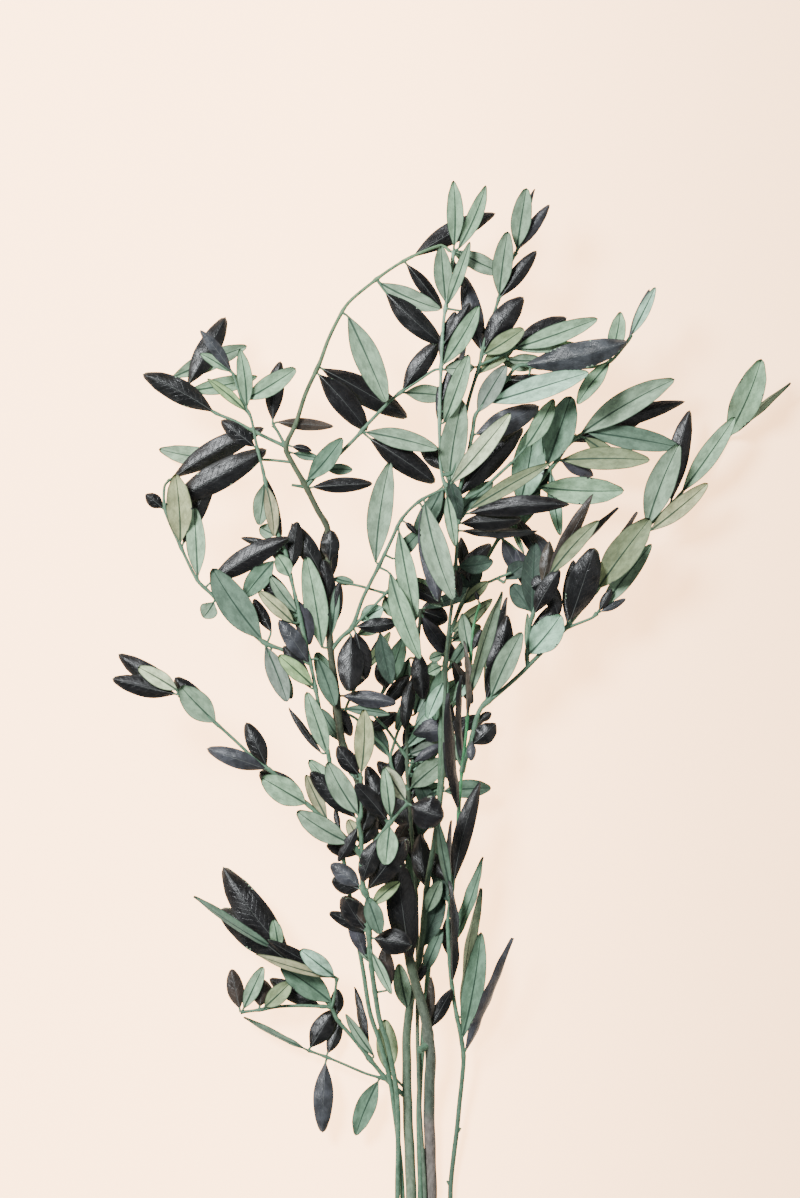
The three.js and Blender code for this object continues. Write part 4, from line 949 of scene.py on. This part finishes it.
# %% Tubes
THICK_STEM = 1.9
STEM_SIDES, TWIG_SIDES, STALK_SIDES = 12, 9, 7
UNEVEN, TWIST = 0.04, 0.21
BARK_SCALE, NEXT_TUBE = 2, 9.1
NODE_SWELL, NODE_LENGTH, MOST_SWELL = 0.32, 2.2, 1.1
UNLIMITED = 9
STALK_RADIUS, STALK_TAPER = 0.95, 0.22
STALK_ROWS, STALK_REACH, IN_BLADE = 5, 1.04, 0.03


def smooth_route(axis, step=3.0):
    """Points on a smooth curve through the axis, about step millimetres apart."""
    pts = np.array(axis, float)
    ends = np.vstack([2 * pts[0] - pts[1], pts, 2 * pts[-1] - pts[-2]])
    out = []
    for a, b, c, d in zip(ends, ends[1:], ends[2:], ends[3:]):
        n = max(1, round(float(np.linalg.norm((c - b)[:3])) / step))
        for k in range(n):
            s = k / n
            m = (c - a) / 2 * min(1, 2 * np.linalg.norm(c - b) / (np.linalg.norm(c - a) + 1e-9))
            q = (d - b) / 2 * min(1, 2 * np.linalg.norm(c - b) / (np.linalg.norm(d - b) + 1e-9))
            h = (2 * s**3 - 3 * s**2 + 1, s**3 - 2 * s**2 + s, -2 * s**3 + 3 * s**2, s**3 - s**2)
            out.append(h[0] * b + h[1] * m + h[2] * c + h[3] * q)
    return np.array(out + [pts[-1]])


def grow_tube(growth, route, tints, sides, number, cut):
    """A tube along [x, y, z, radius] rows, closed by a flat end that is cut wood or bark."""
    n = len(route)
    points, place, spot, tint = [], [], [], []
    run = 0
    for i, row in enumerate(route):
        a, b = route[max(0, i - 1)][:3], route[min(n - 1, i + 1)][:3]
        along = unit(b - a)
        across = unit(np.cross([0, 0, 1], along) + 1e-9)
        over = np.cross(along, across)
        run += float(np.linalg.norm(row[:3] - route[max(0, i - 1)][:3]))
        for s in range(sides):
            angle = 2 * math.pi * s / sides
            r = row[3] * (1 + UNEVEN * math.sin(3 * angle + run * TWIST + number))
            points.append((row[:3] + across * math.cos(angle) * r + over * math.sin(angle) * r).tolist())
            place.append([math.cos(angle) * row[3] * BARK_SCALE, run,
                          math.sin(angle) * row[3] * BARK_SCALE + number * NEXT_TUBE])
            spot.append([0, run / 100, row[3]])
            tint.append(tints[i])
    faces = []
    for i in range(n - 1):
        for s in range(sides):
            a, b = i * sides + s, i * sides + (s + 1) % sides
            faces.append([a, b, b + sides, a + sides])
    growth.add(points, faces, BARK, tint, place, spot)
    for at, flip in ((0, True), (n - 1, False)):
        rim = points[at * sides:(at + 1) * sides]
        ring = list(range(sides))
        wood = cut and at == 0
        shade = [linear(*CUT_WOOD) if wood else tints[at]] * sides
        growth.add(rim, [ring[::-1] if flip else ring], CUT if wood else BARK, shade,
                   place[at * sides:(at + 1) * sides], spot[at * sides:(at + 1) * sides])


def swell(route, roots):
    """Widens the route where leaves leave it, with a limit on thin twigs."""
    for x, y, z, _ in roots:
        d = np.linalg.norm(route[:, :3] - np.array([x, y, z]), axis=1)
        route[:, 3] += NODE_SWELL * np.exp(-((d / NODE_LENGTH) ** 2))
    most = route[:, 3].min() + MOST_SWELL + (route[:, 3] > THICK_STEM) * UNLIMITED
    route[:, 3] = np.minimum(route[:, 3], most)
    return route


def grow_stalk(leaf, growth, tint):
    rows = []
    last = STALK_ROWS - 1
    for k in range(STALK_ROWS):
        p = on_leaf(leaf, min(-1 + k / last * STALK_REACH, IN_BLADE))
        rows.append([*p, STALK_RADIUS - STALK_TAPER * k / last])
    grow_tube(growth, np.array(rows), [tint] * STALK_ROWS, STALK_SIDES, leaf["number"], False)


print("tubes ready")

# %% [markdown]
# ## Shader helpers and shared effects
#
# Two effects are used by more than one finish, so each is a node group: the marks that belong to a leaf's
# own lines (midrib, side veins, margin) and a soft mottling from noise. A painted texture could show the
# same, but it would tie every leaf to one picture, while a formula gives each leaf its own.


# %% Node helpers
def feed(tree, made, sockets):
    """Links or sets inputs: i0, i1 and so on by number, any other by its name."""
    for key, value in sockets.items():
        by_number = key[0] == "i" and key[1:].isdigit()
        socket = made.inputs[int(key[1:]) if by_number else key.replace("_", " ")]
        if isinstance(value, bpy.types.NodeSocket):
            tree.links.new(value, socket)
        else:
            socket.default_value = value


def node(tree, kind, settings=None, **sockets):
    made = tree.nodes.new(kind)
    for key, value in (settings or {}).items():
        setattr(made, key, value)
    feed(tree, made, sockets)
    return made


def calc(tree, operation, a, b=0.0, c=0.0):
    return node(tree, "ShaderNodeMath", {"operation": operation}, i0=a, i1=b, i2=c).outputs[0]


def ramp(tree, value, low, high, out_low=0.0, out_high=1.0):
    made = node(tree, "ShaderNodeMapRange", {"interpolation_type": "SMOOTHSTEP"}, Value=value, From_Min=low,
                From_Max=high, To_Min=out_low, To_Max=out_high)
    return made.outputs["Result"]


def blend_colour(tree, factor, a, b, how="MIX"):
    made = node(tree, "ShaderNodeMix", {"data_type": "RGBA", "blend_type": how}, i0=factor, i6=a, i7=b)
    return made.outputs[2]


def read(tree, name, output="Vector"):
    return node(tree, "ShaderNodeAttribute", {"attribute_name": name}).outputs[output]


def new_group(name, inputs, outputs):
    tree = bpy.data.node_groups.new(name, "ShaderNodeTree")
    for label, kind, value in inputs:
        socket = tree.interface.new_socket(label, in_out="INPUT", socket_type=kind)
        if value is not None:
            socket.default_value = value
    for label, kind in outputs:
        tree.interface.new_socket(label, in_out="OUTPUT", socket_type=kind)
    return tree, tree.nodes.new("NodeGroupInput").outputs, tree.nodes.new("NodeGroupOutput").inputs


def use(tree, group, **sockets):
    made = tree.nodes.new("ShaderNodeGroup")
    made.node_tree = group
    feed(tree, made, sockets)
    return made.outputs


print("node helpers ready")


# %% Helpers for finishes
def shade(tree, colour, light):
    grey = node(tree, "ShaderNodeCombineColor", i0=light, i1=light, i2=light).outputs[0]
    return blend_colour(tree, 1.0, colour, grey, "MULTIPLY")


def overlay(tree, base, layers):
    """Lays colours over the base, each by its mask and its strength."""
    for mask, strength, colour in layers:
        base = blend_colour(tree, calc(tree, "MULTIPLY", mask, strength), base, (*colour, 1))
    return base


def drawn_out(tree, factors):
    place = read(tree, "place")
    return node(tree, "ShaderNodeVectorMath", {"operation": "MULTIPLY"}, i0=place, i1=factors).outputs[0]


def swing(tree, value, amount):
    """How far a noise strays from its middle, times an amount."""
    return calc(tree, "MULTIPLY", calc(tree, "SUBTRACT", value, 0.5), amount)


def raise_relief(tree, shader, parts, strength, distance):
    """Bumps the surface by the weighted sum of the parts."""
    total = None
    for value, weight in parts:
        part = calc(tree, "MULTIPLY", value, weight)
        total = part if total is None else calc(tree, "ADD", total, part)
    bump = node(tree, "ShaderNodeBump", Height=total, Strength=strength, Distance=distance)
    tree.links.new(bump.outputs[0], shader.inputs["Normal"])


print("finish helpers ready")

# %% Leaf lines group
leaf_lines, given, out = new_group(
    "leaf lines",
    [("Place", "NodeSocketVector", None), ("Spot", "NodeSocketVector", None),
     ("Midrib Width", "NodeSocketFloat", 0.4), ("Margin Width", "NodeSocketFloat", 0.35),
     ("Vein Spacing", "NodeSocketFloat", 2.6)],
    [("Midrib", "NodeSocketFloat"), ("Veins", "NodeSocketFloat"), ("Margin", "NodeSocketFloat")],
)
tree = leaf_lines
place = node(tree, "ShaderNodeSeparateXYZ", i0=given["Place"]).outputs
spot = node(tree, "ShaderNodeSeparateXYZ", i0=given["Spot"]).outputs
across = calc(tree, "ABSOLUTE", place["X"])
taper = calc(tree, "SUBTRACT", 1.25, spot["Y"])
midrib_edge = calc(tree, "MULTIPLY", given["Midrib Width"], taper)
midrib = ramp(tree, across, midrib_edge, calc(tree, "MULTIPLY", midrib_edge, 0.35))
tree.links.new(midrib, out["Midrib"])
# Side veins leave the midrib at a slant and curve forward, so they are level lines of along - across.
slant = calc(tree, "SUBTRACT", place["Y"], calc(tree, "MULTIPLY", across, 1.15))
wobble = node(tree, "ShaderNodeTexNoise", Vector=given["Place"], Scale=0.35, Detail=1.0).outputs["Fac"]
slant = calc(tree, "ADD", slant, calc(tree, "MULTIPLY", wobble, 2.4))
wave = calc(tree, "PINGPONG", slant, given["Vein Spacing"])
veins = ramp(tree, wave, 0.45, 0.0)
inside = ramp(tree, calc(tree, "ABSOLUTE", spot["X"]), 0.96, 0.55)
tree.links.new(calc(tree, "MULTIPLY", veins, inside), out["Veins"])
from_edge = calc(tree, "SUBTRACT", spot["Z"], across)
tree.links.new(ramp(tree, from_edge, given["Margin Width"], 0.0), out["Margin"])
print("group:", leaf_lines.name)

# %% Mottling group
mottling, given, out = new_group(
    "mottling",
    [("Place", "NodeSocketVector", None), ("Patch", "NodeSocketFloat", 6.0),
     ("Grain", "NodeSocketFloat", 0.6)],
    [("Patches", "NodeSocketFloat"), ("Fine", "NodeSocketFloat"), ("Specks", "NodeSocketFloat")],
)
tree = mottling
coarse = node(tree, "ShaderNodeTexNoise", Vector=given["Place"], Detail=3.0, Roughness=0.6,
              Scale=calc(tree, "DIVIDE", 1.0, given["Patch"]))
fine = node(tree, "ShaderNodeTexNoise", Vector=given["Place"], Detail=4.0, Roughness=0.7,
            Scale=calc(tree, "DIVIDE", 1.0, given["Grain"]))
speck = node(tree, "ShaderNodeTexVoronoi", Vector=given["Place"], Scale=0.42)
tree.links.new(coarse.outputs["Fac"], out["Patches"])
tree.links.new(fine.outputs["Fac"], out["Fine"])
tree.links.new(ramp(tree, speck.outputs["Distance"], 0.17, 0.08), out["Specks"])
print("group:", mottling.name)


# %% [markdown]
# ## The dusty underside
#
# The underside is matt: fine scales scatter the light, so it looks powdered. The midrib and the margin are
# thin darker lines, the side veins barely show, and pale and dark patches differ from leaf to leaf.

# %% Underside material
def new_material(name):
    material = bpy.data.materials.new(name)
    material.use_nodes = True
    tree = material.node_tree
    tree.nodes.clear()
    shader = tree.nodes.new("ShaderNodeBsdfPrincipled")
    end = tree.nodes.new("ShaderNodeOutputMaterial")
    tree.links.new(shader.outputs[0], end.inputs["Surface"])
    return material, tree, shader


underside, tree, shader = new_material("leaf_underside")
lines = use(tree, leaf_lines, Place=read(tree, "place"), Spot=read(tree, "spot"), Midrib_Width=0.9,
            Margin_Width=0.85, Vein_Spacing=3.1)
spots = use(tree, mottling, Place=drawn_out(tree, (1, 0.45, 1)), Patch=3.4, Grain=0.8)
light = calc(tree, "ADD", ramp(tree, spots["Patches"], 0.34, 0.66, 0.76, 1.22),
             swing(tree, spots["Fine"], 0.7))
base = overlay(tree, shade(tree, read(tree, "tint", "Color"), light), [
    (lines["Veins"], 0.3, (0.12, 0.2, 0.14)), (spots["Specks"], 0.3, (0.12, 0.13, 0.09)),
    (lines["Midrib"], 0.92, (0.022, 0.05, 0.032)), (lines["Margin"], 0.92, (0.022, 0.045, 0.026))])
tree.links.new(base, shader.inputs["Base Color"])
shader.inputs["Roughness"].default_value = 0.72
shader.inputs["Specular IOR Level"].default_value = 0.32
shader.inputs["Sheen Weight"].default_value = 0.12
raise_relief(tree, shader, [(lines["Midrib"], 1), (lines["Veins"], 0.12), (spots["Fine"], 0.25)], 0.7, 0.0005)
print("material:", underside.name)

# %% [markdown]
# ## The dark upper side
#
# The upper side is leathery: nearly black, semi-gloss, and wrinkled lengthwise from drying. Its wrinkles
# catch the light in silvery streaks, which no flat colour gives, so the relief and the roughness do that
# work.

# %% Upper side material
upper_side, tree, shader = new_material("leaf_upper_side")
lines = use(tree, leaf_lines, Place=read(tree, "place"), Spot=read(tree, "spot"), Midrib_Width=0.36,
            Margin_Width=0.3, Vein_Spacing=2.4)
wrinkle = use(tree, mottling, Place=drawn_out(tree, (1, 0.3, 1)), Patch=2.2, Grain=0.7)
spots = use(tree, mottling, Place=read(tree, "place"), Patch=9.0, Grain=0.5)
light = calc(tree, "ADD", ramp(tree, spots["Patches"], 0.3, 0.7, 0.6, 1.5), swing(tree, wrinkle["Fine"], 0.5))
base = overlay(tree, shade(tree, read(tree, "tint", "Color"), light), [
    (lines["Midrib"], 0.45, (0.16, 0.17, 0.16)), (lines["Margin"], 0.5, (0.012, 0.014, 0.012))])
tree.links.new(base, shader.inputs["Base Color"])
# The rim is duller than the rest, so it does not mirror the bright floor.
rim = use(tree, leaf_lines, Place=read(tree, "place"), Spot=read(tree, "spot"), Margin_Width=1.9)["Margin"]
satin = ramp(tree, wrinkle["Patches"], 0.3, 0.75, 0.27, 0.46)
dull = calc(tree, "ADD", satin, calc(tree, "MULTIPLY", rim, 0.35))
tree.links.new(dull, shader.inputs["Roughness"])
shader.inputs["Specular IOR Level"].default_value = 0.45
raise_relief(tree, shader, [
    (wrinkle["Patches"], 1), (wrinkle["Fine"], 0.4), (lines["Midrib"], -0.7), (lines["Veins"], -0.15),
], 0.8, 0.0006)
print("material:", upper_side.name)

# %% [markdown]
# ## Bark and cut wood
#
# Young olive bark is smooth and grey-green, with short pale pores and darker blotches. The cut ends
# show pale wood with rings.

# %% Bark and cut wood materials
bark, tree, shader = new_material("stem_bark")
spots = use(tree, mottling, Place=read(tree, "place"), Patch=4.5, Grain=0.5)
streaks = use(tree, mottling, Place=drawn_out(tree, (1.6, 0.22, 1.6)), Patch=1.4, Grain=0.5)
light = calc(tree, "ADD", ramp(tree, spots["Patches"], 0.3, 0.7, 0.72, 1.22),
             swing(tree, streaks["Patches"], 0.7))
base = overlay(tree, shade(tree, read(tree, "tint", "Color"), light), [
    (spots["Specks"], 0.35, (0.42, 0.44, 0.36))])
tree.links.new(base, shader.inputs["Base Color"])
shader.inputs["Roughness"].default_value = 0.66
shader.inputs["Specular IOR Level"].default_value = 0.35
raise_relief(tree, shader, [(streaks["Patches"], 1), (spots["Fine"], 0.35)], 0.6, 0.0005)

cut_wood, tree, shader = new_material("cut_wood")
radius = node(tree, "ShaderNodeVectorMath", {"operation": "LENGTH"}, i0=read(tree, "place")).outputs["Value"]
rings = ramp(tree, calc(tree, "SINE", calc(tree, "MULTIPLY", radius, 5.0)), -1.0, 1.0, 0.78, 1.1)
tree.links.new(shade(tree, read(tree, "tint", "Color"), rings), shader.inputs["Base Color"])
shader.inputs["Roughness"].default_value = 0.8
print("materials:", bark.name, cut_wood.name)

# %% [markdown]
# ## Growing the seven branches
#
# Each branch becomes one piece: its stems, then its leaf stalks and blades. It replaces the plain solid of
# the same branch and rides on the only body.

# %% The branches
MATERIALS = [upper_side, underside, bark, cut_wood]
stalk_tint = [c * STALK_SHADE for c in linear(*STALK)]
for number, one in enumerate(branches):
    growth = Growth()
    roots = [leaf["root"] for leaf in one["grown"]]
    for k, axis in enumerate(one["axes"]):
        route = swell(smooth_route(axis), roots)
        tints = [stem_tint(one["name"], k == 0, row[1], number * 7 + k) for row in route]
        sides = STEM_SIDES if axis[0][3] > THICK_STEM else TWIG_SIDES
        grow_tube(growth, route, tints, sides, number * 17 + k, k == 0)
    for leaf in one["grown"]:
        grow_stalk(leaf, growth, stalk_tint)
        grow_blade(leaf, growth)
    piece = growth.object(one["name"] + "_look", MATERIALS)
    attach(piece, "root")
    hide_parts(one["name"])
    print(one["name"], len(growth.faces), "faces")

# %% [markdown]
# ## Floor, light and camera
#
# The photograph has a plain cream backdrop, soft light from the upper left and almost no shadow. The floor
# glows by itself, which keeps the shadows under the bunch as faint as they are there. It looks bright, but
# it sends far less light back to the leaves, so that their rims and undersides stay dark.

# %% Floor
REACH, DEPTH = 9, -0.0006
GLOW, GLOW_RIGHT, LIGHT_BACK = 6.4, 3.6, 1.1
DIMS_FROM, DIMS_TO = -0.12, 0.3
FLOOR_COLOUR = linear(246, 214, 184)
SEEN_GLOW, BACK_GLOW = linear(255, 196, 140), linear(255, 238, 222)
corners = [(-REACH, -REACH, DEPTH), (REACH, -REACH, DEPTH), (REACH, REACH, DEPTH), (-REACH, REACH, DEPTH)]
floor_mesh = bpy.data.meshes.new("floor")
floor_mesh.from_pydata(corners, [], [(0, 1, 2, 3)])
floor = bpy.data.objects.new("floor", floor_mesh)
bpy.context.scene.collection.objects.link(floor)
floor_finish, tree, shader = new_material("floor_cream")
shader.inputs["Base Color"].default_value = (*FLOOR_COLOUR, 1)
shader.inputs["Roughness"].default_value = 0.9
shader.inputs["Specular IOR Level"].default_value = 0.1
spot = tree.nodes.new("ShaderNodeNewGeometry").outputs["Position"]
sideways = node(tree, "ShaderNodeSeparateXYZ", i0=spot).outputs["X"]
seen = tree.nodes.new("ShaderNodeLightPath").outputs["Is Camera Ray"]
glow = blend_colour(tree, seen, (*BACK_GLOW, 1), (*SEEN_GLOW, 1))
bright = ramp(tree, sideways, DIMS_FROM, DIMS_TO, GLOW, GLOW_RIGHT)
extra = calc(tree, "SUBTRACT", bright, LIGHT_BACK)
strength = calc(tree, "ADD", calc(tree, "MULTIPLY", seen, extra), LIGHT_BACK)
tree.links.new(glow, shader.inputs["Emission Color"])
tree.links.new(strength, shader.inputs["Emission Strength"])
floor_mesh.materials.append(floor_finish)
print("floor ready")


# %% Light
def soft_box(name, place, target, size, power, colour):
    light = bpy.data.lights.new(name, "AREA")
    light.shape = "DISK"
    light.size = size
    light.energy = power
    light.color = colour
    made = bpy.data.objects.new(name, light)
    made.location = place
    aim = np.array(target, float) - np.array(place, float)
    made.rotation_euler = mathutils.Vector(aim).to_track_quat("-Z", "Y").to_euler()
    bpy.context.scene.collection.objects.link(made)


soft_box("key", place=(-1.5, 1.3, 2.4), target=(0, 0.05, 0.05), size=1.0, power=200, colour=(0.95, 0.98, 1))
soft_box("fill", place=(1.9, -0.4, 2.4), target=(0, 0, 0.05), size=2.2, power=14, colour=(1, 0.97, 0.94))
SKY_COLOUR, SKY_STRENGTH = (0.9, 0.96, 1, 1), 0.22
world = bpy.data.worlds.new("studio")
world.use_nodes = True
world.node_tree.nodes["Background"].inputs["Color"].default_value = SKY_COLOUR
world.node_tree.nodes["Background"].inputs["Strength"].default_value = SKY_STRENGTH
bpy.context.scene.world = world

# %% Camera
CAMERA_HEIGHT = 6.0
FRAME_HEIGHT = 0.8266
PICTURE_MIDDLE = (-0.0362, 0.1028)
MEASURED_AT = 0.055
SENSOR = 36
FARTHEST = 50
camera = bpy.data.objects.new("camera", bpy.data.cameras.new("camera"))
camera.location = (*PICTURE_MIDDLE, CAMERA_HEIGHT + MEASURED_AT)
camera.data.sensor_width = SENSOR
camera.data.lens = SENSOR * CAMERA_HEIGHT / FRAME_HEIGHT
camera.data.clip_end = FARTHEST
bpy.context.scene.collection.objects.link(camera)
bpy.context.scene.camera = camera
print("camera looks straight down, lens", round(camera.data.lens), "mm")
